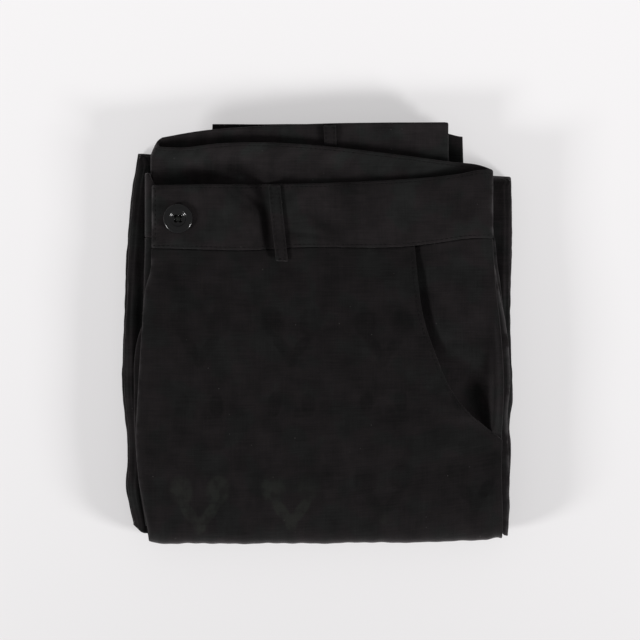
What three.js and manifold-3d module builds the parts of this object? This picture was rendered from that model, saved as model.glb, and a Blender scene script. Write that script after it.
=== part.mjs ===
// Folded trousers with a soft waistband, lying on a table with the left front up.
// They are folded along the centre front, then the legs are folded up behind in four lengths.
// Millimetres. X runs across the front, Y towards the waist, Z up from the table.
import * as THREE from "three";
import { mergeVertices } from "three/addons/utils/BufferGeometryUtils.js";
import Module from "manifold-3d";

const { smoothstep, lerp, clamp } = THREE.MathUtils;

// Cloth
const CLOTH = 1.2;
const BAND = 2.0;
const BAND_HEIGHT = 39.4;
const UNDERLAP_TOP = 97.6;
const UNDERLAP_SLOPE = 0.15;
const BACK_SEAM = 0.8;
const SEAM_END = 0.3;
const GAP = 0.3;

// Stack: four lengths of cloth, the first one wrapped round the others at the lower fold
const STACK_HEIGHT = 26.8;
const FOLD_LINE = -118.4;
const FOLD_REACH = 11;
const EDGE_FALL = 1.1;
const EDGE_REACH = 3;
const INNER_FALL = 0.8;
const FOLD_TURN = FOLD_LINE - Math.PI * 11.5;
const PANEL_SHARE = 0.8;
const PANEL_END = 34;
const WAIST_START = 62;

// Height of each layer's upper face, where only panels lie and where the waistbands lie
const LEVEL = {
  frontLeft: { panel: 26.8, waist: 27.3 },
  underlap: { panel: 24.3, waist: 24.8 },
  backLeft: { panel: 23.6, waist: 22.6 },
  backRight: { panel: 22.1, waist: 20.2 },
  frontRight: { panel: 20.5, waist: 17.9 },
  legLeft: { panel: 18.5, waist: 15.2 },
  legRight: { panel: 15.4, waist: 12.5 },
  folded: { panel: 12.0, waist: 9.8 },
};

// Edges seen from above: x at a distance y along the garment, which runs on round the lower fold
const CENTRE_FOLD = [
  { y: 98, x: -106.1 },
  { y: 51, x: -106.3 },
  { y: 20, x: -106.9 },
  { y: -17, x: -109.3 },
  { y: -50, x: -111.2 },
  { y: -67, x: -111.8 },
  { y: -87, x: -110.5 },
  { y: -105, x: -107.5 },
  { y: -122, x: -104.6 },
  { y: -160, x: -106.6 },
];
const SIDE_LEFT = [
  { y: 99, x: 107.7 },
  { y: 56, x: 107.5 },
  { y: 29, x: 109.2 },
  { y: 0, x: 112.4 },
  { y: -32, x: 114.2 },
  { y: -64, x: 112.9 },
  { y: -84, x: 112.4 },
  { y: -110, x: 113.0 },
  { y: -160, x: 112.0 },
];
const SIDE_RIGHT = [
  { y: 104, x: 80.4 },
  { y: 88, x: 84 },
  { y: 60, x: 101 },
  { y: 43, x: 107.4 },
  { y: 24, x: 111.5 },
  { y: 4, x: 115.6 },
  { y: -25, x: 118.0 },
  { y: -58, x: 116.2 },
  { y: -78, x: 117.4 },
  { y: -160, x: 115.6 },
];
const POCKET_EDGE = [
  { y: 53, x: 59.0 },
  { y: 32, x: 60.9 },
  { y: 10, x: 64.2 },
  { y: -14, x: 72.0 },
  { y: -35, x: 81.3 },
  { y: -50, x: 93.0 },
  { y: -60, x: 105.4 },
  { y: -65.6, x: 112.9 },
];
const LEGS_LEFT = [
  { y: 111, x: -111.0 },
  { y: 82, x: -115.4 },
  { y: 50, x: -118.0 },
  { y: 10, x: -119.4 },
  { y: -42, x: -119.8 },
  { y: -91, x: -118.0 },
  { y: -118, x: -113.6 },
];
const LEGS_RIGHT = [
  { y: 97, x: 118.6 },
  { y: 60, x: 119.4 },
  { y: 26, x: 118.8 },
  { y: -35, x: 119.8 },
  { y: -60, x: 118.2 },
  { y: -90, x: 118.8 },
  { y: -118, x: 116.8 },
];
const LEG_END_LEFT = [
  { y: 128, x: -65.0 },
  { y: 81, x: -69.5 },
  { y: 32, x: -92.0 },
  { y: 2, x: -109.0 },
  { y: -40, x: -113.2 },
  { y: -85, x: -111.2 },
  { y: -118, x: -106.0 },
];
const LEG_END_RIGHT = [
  { y: 128, x: 80.0 },
  { y: 70, x: 84.0 },
  { y: 10, x: 104.0 },
  { y: -60, x: 107.5 },
  { y: -118, x: 107.0 },
];

// Upper edges of the waistbands: y at a distance x across
const FRONT_BAND_TOP = [
  { x: -106, y: 90.0 },
  { x: -60, y: 90.4 },
  { x: 7, y: 91.4 },
  { x: 45, y: 93.2 },
  { x: 85, y: 96.0 },
  { x: 107.7, y: 98.4 },
];
const BACK_LEFT_BAND_TOP = [
  { x: -102, y: 113.8 },
  { x: -84, y: 113.0 },
  { x: -62, y: 115.5 },
  { x: -36, y: 116.3 },
  { x: 0, y: 114.3 },
  { x: 46, y: 109.0 },
  { x: 82, y: 104.2 },
  { x: 107, y: 98.9 },
];
const WAIST_SEAM = [
  { x: -106, y: 51.6 },
  { x: -80, y: 51.0 },
  { x: -45, y: 50.2 },
  { x: -12, y: 52.0 },
  { x: 58, y: 52.9 },
  { x: 76, y: 55.2 },
  { x: 90, y: 57.2 },
  { x: 107.7, y: 57.8 },
];
const BACK_RIGHT_BAND_TOP = [
  { x: -102, y: 117.2 },
  { x: -72, y: 122.8 },
  { x: -34, y: 126.0 },
  { x: 4, y: 128.1 },
  { x: 80, y: 128.8 },
];

// Soft rises and hollows of the upper layer: a place, how far it reaches each way, and its height
const SWELLS = [
  { x: -66, y: 91, across: 17, along: 12, lift: 2.2 },
  { x: -41, y: 84, across: 9, along: 12, lift: -1.3 },
  { x: 34, y: 78, across: 40, along: 20, lift: 0.5 },
  { x: -70, y: 8, across: 30, along: 34, lift: 0.5 },
  { x: 28, y: -22, across: 46, along: 30, lift: 0.6 },
  { x: -30, y: -80, across: 60, along: 24, lift: 0.4 },
  { x: 100, y: -20, across: 7, along: 34, lift: 0.5 },
];

// The pocket's mouth gapes: how high its edge stands, how far in it rises, and from where to where
const GAPE = { lift: 0.9, reach: 11, bottom: -58, top: 48, blend: 18 };
// The fly's edge lies inside the centre fold by its overlap, and lower down by no more than a seam
const FLY = { seam: 1.1, overlap: 4.3, start: -10, end: 40 };

const BUTTON_PLACE = { x: -85.3, y: 69.4 };
const BUTTON = { radius: 9, rim: 2.6, dish: 1.5, holes: 4, holeRadius: 0.95, holeSpacing: 1.75 };
const FRONT_LOOP = { top: { x: -26.8, y: 90 }, foot: { x: -21.9, y: 43.4 }, width: 7.4 };
const BACK_LOOP = { top: { x: 7.2, y: 126.6 }, foot: { x: 7.7, y: 114.3 }, width: 7.6 };
const LOOP_CLOTH = 1.4;
const LOOP_ROUND = 0.7;

// A smooth value from a table: a cubic through its rows, with the slope of each row's neighbours.
function along(table, key, value, at) {
  const down = table[0][key] > table[1][key];
  const rows = down ? [...table].reverse() : table;
  const last = rows.length - 1;
  const place = clamp(at, rows[0][key], rows[last][key]);
  let i = 0;
  while (i < last - 1 && rows[i + 1][key] < place) i += 1;
  const slope = (k) => {
    const before = rows[Math.max(k - 1, 0)];
    const after = rows[Math.min(k + 1, last)];
    return (after[value] - before[value]) / (after[key] - before[key]);
  };
  const span = rows[i + 1][key] - rows[i][key];
  const t = (place - rows[i][key]) / span;
  const rise = t * t * (3 - 2 * t);
  const start = t * (1 - t) * (1 - t) * span * slope(i);
  const end = t * t * (t - 1) * span * slope(i + 1);
  return lerp(rows[i][value], rows[i + 1][value], rise) + start + end;
}
const edgeX = (table, y) => along(table, "y", "x", y);
const edgeY = (table, x) => along(table, "x", "y", x);

const flyOverlap = (y) => lerp(FLY.seam, FLY.overlap, smoothstep(y, FLY.start, FLY.end));
// Where the panels are sewn to the back's waistband, and how far the right front's waist slopes up.
const backLeftFoot = (x) => edgeY(BACK_LEFT_BAND_TOP, x) - BAND_HEIGHT - BACK_SEAM;
const backRightFoot = (x) => edgeY(BACK_RIGHT_BAND_TOP, x) - BAND_HEIGHT - BACK_SEAM;
const underlapSkew = (x) => UNDERLAP_SLOPE * Math.max(0, x - BACK_LEFT_BAND_TOP[0].x);
// Share of a slanted seam's slope that is left at v down a panel.
const seamShare = (v) => 1 - smoothstep(v, 0, SEAM_END);

// Height of a layer's upper face at y, from the panels' level to the waistbands'.
function levelAt(layer, y) {
  return lerp(layer.panel, layer.waist, smoothstep(y, PANEL_END, WAIST_START));
}

// How near a point is to the centre fold or the left side seam, from 0 well inside to 1 at the edge.
function edgeShare(x, y) {
  const inside = Math.min(x - edgeX(CENTRE_FOLD, y), edgeX(SIDE_LEFT, y) - x);
  return Math.exp(-Math.max(inside, 0) / EDGE_REACH);
}

function swellAt(x, y) {
  return SWELLS.reduce((sum, s) => {
    const away = ((x - s.x) / s.across) ** 2 + ((y - s.y) / s.along) ** 2;
    return sum + s.lift * Math.exp(-away);
  }, 0);
}

// A point at height z on the first length of cloth. Past FOLD_LINE it turns down round the lower fold.
function onStack(x, y, z) {
  if (y >= FOLD_LINE) return new THREE.Vector3(x, y, z);
  const depth = STACK_HEIGHT - z;
  const turn = (Math.PI * (FOLD_LINE - y)) / (FOLD_LINE - FOLD_TURN);
  const out = (FOLD_REACH - depth) * Math.sin(turn);
  const up = (STACK_HEIGHT / 2 - depth) * Math.cos(turn);
  return new THREE.Vector3(x, FOLD_LINE - out, STACK_HEIGHT / 2 + up);
}

// A closed solid over a grid of columns and rows. point(u, v, level) gives its lower face at level 0,
// its upper face at level 1, and its rim at each of the levels between.
function solid(name, colour, columns, rows, levels, point) {
  const positions = [];
  const faces = [];
  const put = (p) => positions.push(p.x, p.y, p.z) / 3 - 1;
  const grid = (level) => rows.map((v) => columns.map((u) => put(point(u, v, level))));
  const lower = grid(0);
  const upper = grid(1);
  const lastColumn = columns.length - 1;
  const lastRow = rows.length - 1;
  const border = [];
  for (let c = 0; c < lastColumn; c += 1) border.push([0, c]);
  for (let r = 0; r < lastRow; r += 1) border.push([r, lastColumn]);
  for (let c = lastColumn; c > 0; c -= 1) border.push([lastRow, c]);
  for (let r = lastRow; r > 0; r -= 1) border.push([r, 0]);
  const rings = levels.map((level) => {
    if (level === 0) return border.map(([r, c]) => lower[r][c]);
    if (level === 1) return border.map(([r, c]) => upper[r][c]);
    return border.map(([r, c]) => put(point(columns[c], rows[r], level)));
  });
  const quad = (a, b, c, d) => faces.push(a, b, c, a, c, d);
  for (let r = 0; r < lastRow; r += 1) {
    for (let c = 0; c < lastColumn; c += 1) {
      quad(upper[r][c], upper[r + 1][c], upper[r + 1][c + 1], upper[r][c + 1]);
      quad(lower[r][c], lower[r][c + 1], lower[r + 1][c + 1], lower[r + 1][c]);
    }
  }
  for (let k = 0; k < rings.length - 1; k += 1) {
    for (let i = 0; i < border.length; i += 1) {
      const j = (i + 1) % border.length;
      quad(rings[k][j], rings[k][i], rings[k + 1][i], rings[k + 1][j]);
    }
  }
  const geometry = new THREE.BufferGeometry();
  geometry.setAttribute("position", new THREE.Float32BufferAttribute(positions, 3));
  geometry.setIndex(faces);
  geometry.computeVertexNormals();
  return clothMesh(name, colour, geometry);
}

function clothMesh(name, colour, geometry) {
  const material = new THREE.MeshStandardMaterial({ color: colour, roughness: 0.92, metalness: 0 });
  const mesh = new THREE.Mesh(geometry, material);
  mesh.name = name;
  return mesh;
}

// A wall of cloth: its upper face is face(u, v), and its lower face lies one thickness under it.
function wall(name, colour, thickness, columns, rows, face) {
  const step = 0.004;
  const slope = (u, v, du, dv) => {
    const ahead = face(clamp(u + du, 0, 1), clamp(v + dv, 0, 1));
    return ahead.sub(face(clamp(u - du, 0, 1), clamp(v - dv, 0, 1)));
  };
  const point = (u, v, level) => {
    const normal = slope(u, v, 0, step).cross(slope(u, v, step, 0)).normalize();
    return face(u, v).addScaledVector(normal, (level - 1) * thickness);
  };
  return solid(name, colour, columns, rows, [0, 1], point);
}

// Even parts from 0 to 1, and the same drawn together towards both ends.
const END_DRAW = 0.65;
const even = (count) => Array.from({ length: count + 1 }, (_, i) => i / count);
const ended = (count) => even(count).map((t) => lerp(t, (1 - Math.cos(Math.PI * t)) / 2, END_DRAW));

// Inset of a rounded edge made of plies, at a level through its thickness.
function plyInset(level, plies, depth) {
  return depth * (1 - Math.abs(Math.sin(Math.PI * plies * level)));
}
function roundInset(level, reach) {
  return reach * (1 - Math.sqrt(Math.max(0, 1 - (2 * level - 1) ** 2)));
}

const BLACK = 0x1c1a1b;
const BAND_BLACK = 0x1e1b1c;
const INNER_BLACK = 0x232021;

// Second and third lengths of both legs, eight plies in one rounded solid. Each long edge stands up
// in a soft welt with a trench inside it, and the upper end is the round fold between the lengths.
function foldedLegs() {
  const plies = 8;
  const groove = 0.9;
  const endReach = 6.2;
  const endDrop = 1.4;
  const endLine = { left: 110.6, right: 96.2, from: -111, width: 230 };
  const lengths = { split: 0.5, blend: 0.05, left: 1.6, right: 0.9 };
  const weltForm = { lift: 1.2, at: 3.4, reach: 2.6 };
  const trenchForm = { depth: 4.2, at: 9, reach: 3.2, start: -70, end: 10 };
  const offsets = [0, 2.4, 4.6, 7, 10, 15];
  const columns = [
    ...offsets.map((mm) => ({ part: 0, mm })),
    { part: 0.36, mm: 0 },
    { part: 0.64, mm: 0 },
    ...[...offsets].reverse().map((mm) => ({ part: 1, mm: -mm })),
  ];
  const rows = ended(15);
  const topLine = (x) => lerp(endLine.left, endLine.right, (x - endLine.from) / endLine.width);
  const hump = (form, fromEdge) => Math.exp(-(((fromEdge - form.at) / form.reach) ** 2));
  const height = (y, fromEdge) => {
    const welt = weltForm.lift * hump(weltForm, fromEdge);
    const waist = smoothstep(y, trenchForm.start, trenchForm.end);
    const trench = trenchForm.depth * hump(trenchForm, fromEdge) * waist;
    const crown = levelAt(LEVEL.folded, y) - endDrop * smoothstep(y, 88, 112);
    return crown + welt - trench - groove * smoothstep(-fromEdge, -3, 0);
  };
  const point = (column, v, level) => {
    const inset = plyInset(level, plies, groove);
    const upperLength = smoothstep(level, lengths.split - lengths.blend, lengths.split + lengths.blend);
    const bottom = FOLD_LINE + 0.6 + inset;
    const guess = lerp(topLine(0), bottom, v);
    const left = edgeX(LEGS_LEFT, guess) + inset + lengths.left * upperLength;
    const right = edgeX(LEGS_RIGHT, guess) - inset - lengths.right * upperLength;
    const x = lerp(left, right, column.part) + column.mm;
    const y = lerp(topLine(x) - roundInset(level, endReach), bottom, v);
    const fromEdge = Math.min(x - left, right - x);
    return new THREE.Vector3(x, y, level * height(y, fromEdge));
  };
  const levels = even(plies * 2);
  return solid("folded_legs", BLACK, columns, rows, levels, point);
}

// Last length of one leg, a flat tube of two plies from the lower fold up to its hem.
function legEnd(name, layer, hemY, shift) {
  const thick = { panel: 2.5, hem: 2.3 };
  const hemDroop = 1.1;
  const point = (u, v, level) => {
    const inset = roundInset(level, 1.1) + plyInset(level, 2, 0.4);
    const bottom = FOLD_LINE - 0.4 + inset;
    const y = lerp(hemY - inset * 0.4, bottom, v);
    const shifted = shift * smoothstep(y, 20, 90);
    const left = edgeX(LEG_END_LEFT, y) + shifted + inset;
    const right = edgeX(LEG_END_RIGHT, y) + shifted - inset;
    const thickness = lerp(thick.panel, thick.hem, smoothstep(y, PANEL_END, WAIST_START));
    const droop = hemDroop * smoothstep(y, 100, 128);
    const z = levelAt(layer, y) - droop - (1 - level) * thickness;
    return new THREE.Vector3(lerp(left, right, u), y, z);
  };
  return solid(name, BLACK, ended(10), ended(14), [0, 0.25, 0.5, 0.75, 1], point);
}

// Rows down a panel: PANEL_SHARE of them to the fold line, and the rest round the lower fold.
const panelRows = (flat, round) => [
  ...even(flat).map((t) => t * PANEL_SHARE),
  ...even(round).slice(1).map((t) => lerp(PANEL_SHARE, 1, t)),
];
function panelY(topY, v) {
  if (v < PANEL_SHARE) return lerp(topY, FOLD_LINE, v / PANEL_SHARE);
  return lerp(FOLD_LINE, FOLD_TURN, (v - PANEL_SHARE) / (1 - PANEL_SHARE));
}

// A panel that lies between others: it spans two edges and turns down round the lower fold.
function innerPanel(name, layer, left, right, foot) {
  const face = (u, v) => {
    const straight = panelY(foot(0) - GAP, v);
    const x = lerp(left(straight), right(straight), u);
    const y = straight + (foot(x) - foot(0)) * seamShare(v);
    return onStack(x, y, levelAt(layer, y) - INNER_FALL * EDGE_FALL * edgeShare(x, y));
  };
  return wall(name, BLACK, CLOTH, ended(6), panelRows(10, 7), face);
}

// Upper faces of the left front, with its broad swells, and of its waistband.
function frontFaceZ(x, y) {
  return levelAt(LEVEL.frontLeft, y) + swellAt(x, y) - EDGE_FALL * edgeShare(x, y);
}
const frontBandZ = (x, y) => frontFaceZ(x, y) + 0.2;

// How far the left front stands up along the pocket's mouth.
function gapeAt(x, y) {
  const inside = Math.max(0, edgeX(POCKET_EDGE, y) - x);
  const low = smoothstep(y, GAPE.bottom, GAPE.bottom + GAPE.blend);
  const high = smoothstep(-y, -GAPE.top, GAPE.blend - GAPE.top);
  return GAPE.lift * Math.exp(-((inside / GAPE.reach) ** 2)) * low * high;
}

// Left front: from the waistband seam down and round the lower fold, cut away along the pocket edge.
function frontLeft() {
  const lastPocketRow = POCKET_EDGE[POCKET_EDGE.length - 1].y;
  const seam = (x) => edgeY(WAIST_SEAM, x);
  const face = (u, v) => {
    const straight = panelY(seam(0) - GAP, v);
    const left = edgeX(CENTRE_FOLD, straight) + flyOverlap(straight);
    const side = edgeX(SIDE_LEFT, straight);
    const right = straight > lastPocketRow ? Math.min(edgeX(POCKET_EDGE, straight), side) : side;
    const x = lerp(left, right, u);
    const y = straight + (seam(x) - seam(0)) * seamShare(v);
    return onStack(x, y, frontFaceZ(x, y) + gapeAt(x, y));
  };
  return wall("front_left", BLACK, CLOTH, ended(18), panelRows(19, 8), face);
}

// Hip piece behind the pocket edge: it lies under the front there and comes up level by the side.
function pocketFacing() {
  const underFront = 9;
  const insideSeam = 0.4;
  const seamEnd = 90;
  const bottomY = -67;
  const sunk = { mouth: CLOTH + GAP + 0.2, side: 0.1 };
  const seam = (x) => edgeY(WAIST_SEAM, x);
  const face = (u, v) => {
    const straight = lerp(seam(seamEnd) - GAP, bottomY, v);
    const left = Math.min(edgeX(POCKET_EDGE, straight), edgeX(SIDE_LEFT, straight) - 3) - underFront;
    const x = lerp(left, edgeX(SIDE_LEFT, straight) - insideSeam, u);
    const y = straight + (seam(x) - seam(seamEnd)) * seamShare(v);
    const open = smoothstep(x - left - underFront, 2, 15) * smoothstep(y, -64, -48);
    return new THREE.Vector3(x, y, frontFaceZ(x, y) - lerp(sunk.mouth, sunk.side, open));
  };
  return wall("pocket_facing_left", BLACK, CLOTH, ended(10), ended(14), face);
}

// A path across the stack that starts on top at startX, turns down round the left side at leftX, and
// runs back below to endX. t runs from 0 to 1, with share.top and share.turn of it for the first two.
function roundLeft(t, share, startX, leftX, endX, topZ, lowZ) {
  const middle = (topZ + lowZ) / 2;
  const half = (topZ - lowZ) / 2;
  const turnX = leftX + half;
  if (t < share.top) return { x: lerp(startX, turnX, t / share.top), z: topZ };
  if (t > share.top + share.turn) {
    const back = (t - share.top - share.turn) / (1 - share.top - share.turn);
    return { x: lerp(turnX, endX, back), z: lowZ };
  }
  const angle = (Math.PI * (t - share.top)) / share.turn;
  return { x: turnX - half * Math.sin(angle), z: middle + half * Math.cos(angle) };
}

// A wall folded round the left side: its face is the outer side of the turn. side(t, v) gives the face.
function foldedWall(name, colour, thickness, share, counts, rows, side) {
  const stops = [
    ...even(counts.top).map((t) => t * share.top),
    ...even(counts.turn).slice(1).map((t) => share.top + t * share.turn),
    ...even(counts.below).slice(1).map((t) => lerp(share.top + share.turn, 1, t)),
  ];
  const columns = stops.map((t) => 1 - t).reverse();
  return wall(name, colour, thickness, columns, rows, (u, v) => side(1 - u, v));
}

// Right front: its edge shows beside the fly, and it turns round the centre fold to lie underneath.
function frontRight() {
  const share = { top: 0.1, turn: 0.2 };
  const edgeWidth = 12;
  const insideSide = 0.8;
  const topY = UNDERLAP_TOP - BAND_HEIGHT - GAP;
  const side = (t, v) => {
    const straight = panelY(topY, v);
    const left = edgeX(CENTRE_FOLD, straight);
    const low = levelAt(LEVEL.frontRight, straight) - CLOTH;
    const high = levelAt(LEVEL.underlap, straight);
    const end = edgeX(SIDE_RIGHT, straight) - insideSide;
    const at = roundLeft(t, share, left + edgeWidth, left, end, high, low);
    const below = smoothstep(t, share.top, share.top + share.turn);
    const y = straight + underlapSkew(at.x) * seamShare(v) * below;
    const rise = levelAt(LEVEL.frontRight, y) - levelAt(LEVEL.frontRight, straight);
    const fall = INNER_FALL * EDGE_FALL * edgeShare(at.x, y) * smoothstep(at.x, 60, 80);
    return onStack(at.x, y, at.z + rise * below - fall);
  };
  const counts = { top: 2, turn: 7, below: 6 };
  return foldedWall("front_right", BLACK, CLOTH, share, counts, panelRows(10, 7), side);
}

// Waistband of the left front, from the fly edge to the side.
function bandFrontLeft() {
  const middleY = 80;
  const edgeRound = { fall: 0.3, reach: 2 };
  const left = edgeX(CENTRE_FOLD, middleY) + flyOverlap(middleY);
  const face = (u, v) => {
    const x = lerp(left, edgeX(SIDE_LEFT, middleY), u);
    const topY = edgeY(FRONT_BAND_TOP, x);
    const y = lerp(topY, edgeY(WAIST_SEAM, x), v);
    const fall = edgeRound.fall * Math.exp(-(topY - y) / edgeRound.reach);
    return new THREE.Vector3(x, y, frontBandZ(x, y) - fall);
  };
  return wall("waistband_front_left", BAND_BLACK, BAND, ended(34), ended(6), face);
}

// Waistband of the right front: the button underlap beside the fly, then below the back's waistband.
function bandFrontRight() {
  const share = { top: 0.14, turn: 0.14 };
  const underlapWidth = 22;
  const endX = 76;
  const slantedEnd = { drop: 8.6, from: 1.5, to: 8 };
  const left = edgeX(CENTRE_FOLD, 80);
  const high = LEVEL.underlap.waist + 0.1;
  const low = LEVEL.frontRight.waist - BAND;
  const side = (t, v) => {
    const at = roundLeft(t, share, left + underlapWidth, left, endX, high, low);
    const below = smoothstep(t, share.top, share.top + share.turn);
    const slant = smoothstep(at.x - left, slantedEnd.from, slantedEnd.to) * (1 - below);
    const cut = slantedEnd.drop * slant * (1 - v);
    const y = UNDERLAP_TOP + underlapSkew(at.x) * below - cut - BAND_HEIGHT * v;
    const rise = levelAt(LEVEL.frontRight, y) - LEVEL.frontRight.waist;
    return new THREE.Vector3(at.x, y, at.z + rise * below);
  };
  const counts = { top: 3, turn: 8, below: 10 };
  return foldedWall("waistband_front_right", BAND_BLACK, BAND, share, counts, even(5), side);
}

// Waistband of the back, one strip folded at the centre back: its inner side shows on the left half,
// then it turns round and its outer side shows on the right half. Its upper edge lifts in a soft lip.
function bandBack() {
  const share = { top: 0.5, turn: 0.07 };
  const startX = 106.9;
  const endX = 80;
  const turnX = { top: -98.2, foot: -102.6, from: -3, to: 9 };
  const lipForm = { lift: 1.5, reach: 15 };
  const side = (t, v) => {
    const depth = BAND_HEIGHT * v;
    const leftX = lerp(turnX.top, turnX.foot, smoothstep(depth, turnX.from, turnX.to));
    const lip = lipForm.lift * (1 - smoothstep(depth, 0, lipForm.reach));
    const upper = LEVEL.backLeft.waist + lip;
    const lower = LEVEL.backRight.waist - BAND;
    const at = roundLeft(t, share, startX, leftX, endX, upper, lower);
    const below = smoothstep(t, share.top, share.top + share.turn);
    const topY = lerp(edgeY(BACK_LEFT_BAND_TOP, at.x), edgeY(BACK_RIGHT_BAND_TOP, at.x), below);
    const closing = lip * smoothstep(at.x, 50, 100) * (1 - below);
    return new THREE.Vector3(at.x, topY - depth, at.z - closing);
  };
  const counts = { top: 24, turn: 8, below: 20 };
  return foldedWall("waistband_back", INNER_BLACK, BAND, share, counts, ended(6), side);
}

// A belt loop: a narrow strip, sewn at both ends and bowed up between them over the cloth below.
function beltLoop(name, loop, bow, under) {
  const face = (u, v) => {
    const x = lerp(loop.top.x, loop.foot.x, v) + (u - 0.5) * loop.width;
    const y = lerp(loop.top.y, loop.foot.y, v);
    const lift = GAP + LOOP_CLOTH + 0.1 + bow * Math.sin(Math.PI * v) ** LOOP_ROUND;
    return new THREE.Vector3(x, y, under(x, y) + lift);
  };
  return wall(name, BAND_BLACK, LOOP_CLOTH, even(2), even(14), face);
}

// Button: a turned disc with a round rim, a dished middle and four holes.
function button(wasm) {
  const { radius, rim, dish } = BUTTON;
  const profile = [
    [0, 0],
    [radius * 0.72, 0],
    [radius * 0.97, rim * 0.35],
    [radius, rim * 0.6],
    [radius * 0.95, rim * 0.88],
    [radius * 0.86, rim],
    [radius * 0.74, rim * 0.94],
    [radius * 0.6, dish],
    [radius * 0.3, dish * 0.9],
    [0, dish * 0.88],
  ].map(([r, z]) => new THREE.Vector2(r, z));
  const disc = solidOf(wasm, new THREE.LatheGeometry(profile, 40));
  const holes = Array.from({ length: BUTTON.holes }, (_, k) => {
    const hole = new THREE.CylinderGeometry(BUTTON.holeRadius, BUTTON.holeRadius, rim * 3, 12);
    const angle = (2 * Math.PI * (k + 0.5)) / BUTTON.holes;
    const out = BUTTON.holeSpacing;
    hole.translate(out * Math.cos(angle), 0, out * Math.sin(angle));
    return solidOf(wasm, hole);
  });
  const cut = holes.reduce((body, hole) => body.subtract(hole), disc).getMesh();
  const geometry = new THREE.BufferGeometry();
  geometry.setAttribute("position", new THREE.BufferAttribute(cut.vertProperties, 3));
  geometry.setIndex([...cut.triVerts]);
  geometry.rotateX(Math.PI / 2);
  geometry.computeVertexNormals();
  const material = new THREE.MeshStandardMaterial({ color: 0x0b0b0c, roughness: 0.25, metalness: 0 });
  const mesh = new THREE.Mesh(geometry, material);
  mesh.name = "button";
  const { x, y } = BUTTON_PLACE;
  const offsets = [-radius, 0, radius].map((offset) => offset * Math.SQRT1_2);
  const under = offsets.flatMap((dx) => offsets.map((dy) => frontBandZ(x + dx, y + dy)));
  mesh.position.set(x, y, Math.max(...under) + 0.1);
  return mesh;
}

// The mesh of a geometry with its shared points merged, as a solid that can be cut.
function solidOf(wasm, geometry) {
  geometry.deleteAttribute("normal");
  geometry.deleteAttribute("uv");
  const merged = mergeVertices(geometry, 1e-4);
  const vertProperties = new Float32Array(merged.attributes.position.array);
  const triVerts = new Uint32Array(merged.index.array);
  return new wasm.Manifold(new wasm.Mesh({ numProp: 3, vertProperties, triVerts }));
}

const wasm = await Module();
wasm.setup();

const BACK_INSIDE = { fold: 13, side: 1 };
const backEdge = (y) => edgeX(CENTRE_FOLD, y) + BACK_INSIDE.fold;
const backLeftSide = (y) => edgeX(SIDE_LEFT, y) - BACK_INSIDE.side;
const backRightSide = (y) => edgeX(SIDE_RIGHT, y);
const rightBandZ = () => LEVEL.backRight.waist;

const trousers = new THREE.Group();
trousers.add(
  foldedLegs(),
  legEnd("leg_right_end", LEVEL.legRight, 119.4, 9),
  legEnd("leg_left_end", LEVEL.legLeft, 128.2, 0),
  frontRight(),
  innerPanel("back_right", LEVEL.backRight, backEdge, backRightSide, backRightFoot),
  innerPanel("back_left", LEVEL.backLeft, backEdge, backLeftSide, backLeftFoot),
  frontLeft(),
  pocketFacing(),
  bandFrontRight(),
  bandBack(),
  bandFrontLeft(),
  beltLoop("belt_loop_front_left", FRONT_LOOP, 1.5, frontBandZ),
  beltLoop("belt_loop_back_right", BACK_LOOP, 0.5, rightBandZ),
  button(wasm),
);

export default trousers;
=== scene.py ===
import functools

import bpy
import numpy as np
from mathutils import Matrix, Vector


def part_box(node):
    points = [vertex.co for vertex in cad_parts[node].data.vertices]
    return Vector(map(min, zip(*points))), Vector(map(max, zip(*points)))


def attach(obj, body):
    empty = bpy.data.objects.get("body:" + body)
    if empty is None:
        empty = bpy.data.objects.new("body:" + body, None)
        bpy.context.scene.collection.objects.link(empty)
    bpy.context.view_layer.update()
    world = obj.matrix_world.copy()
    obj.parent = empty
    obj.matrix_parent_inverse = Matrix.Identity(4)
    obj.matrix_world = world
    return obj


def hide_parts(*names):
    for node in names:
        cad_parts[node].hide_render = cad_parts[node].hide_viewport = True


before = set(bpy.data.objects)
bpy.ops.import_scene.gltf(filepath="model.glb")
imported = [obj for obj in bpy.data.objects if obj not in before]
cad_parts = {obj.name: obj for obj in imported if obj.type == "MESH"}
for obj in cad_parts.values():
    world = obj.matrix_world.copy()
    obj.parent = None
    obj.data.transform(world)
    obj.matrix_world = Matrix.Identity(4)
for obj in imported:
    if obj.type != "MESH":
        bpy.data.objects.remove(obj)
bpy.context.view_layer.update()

# Folded legs: the second and third lengths of both legs, eight plies of soft black cotton and linen.
# They are folded flat on the table, with the round fold between the lengths at the waist end.
# The long edges stand up in a loose welt, with a trench between the welt and the length on top.
MM = 0.001
STACK_HEIGHT = 26.8
FOLD_LINE = -118.4
PANEL_END, WAIST_START = 34.0, 62.0
LEVELS = {  # each layer's upper side: where only panels lie, and where the waistbands lie
    "front_left": (26.8, 27.3),
    "underlap": (24.3, 24.8),
    "back_left": (23.6, 22.6),
    "back_right": (22.1, 20.2),
    "front_right": (20.5, 17.9),
    "leg_left": (18.5, 15.2),
    "leg_right": (15.4, 12.5),
    "folded": (12.0, 9.8),
}
LEGS_LEFT = [  # y along the legs, and x of the outermost ply
    (111, -112.0), (82, -116.1), (50, -118.7), (26, -119.8), (-10, -121.2), (-38, -121.4),
    (-50, -120.1), (-66, -118.3), (-80, -118.2), (-95, -119.0), (-105, -117.8), (-118, -115.0),
]
LEGS_RIGHT = [
    (97, 119.7), (60, 120.5), (40, 119.9), (26, 119.7), (5, 119.7), (-12, 120.0), (-28, 120.6),
    (-42, 120.9), (-57, 118.7), (-70, 119.6), (-80, 119.6), (-94, 118.4), (-118, 117.2),
]
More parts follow.
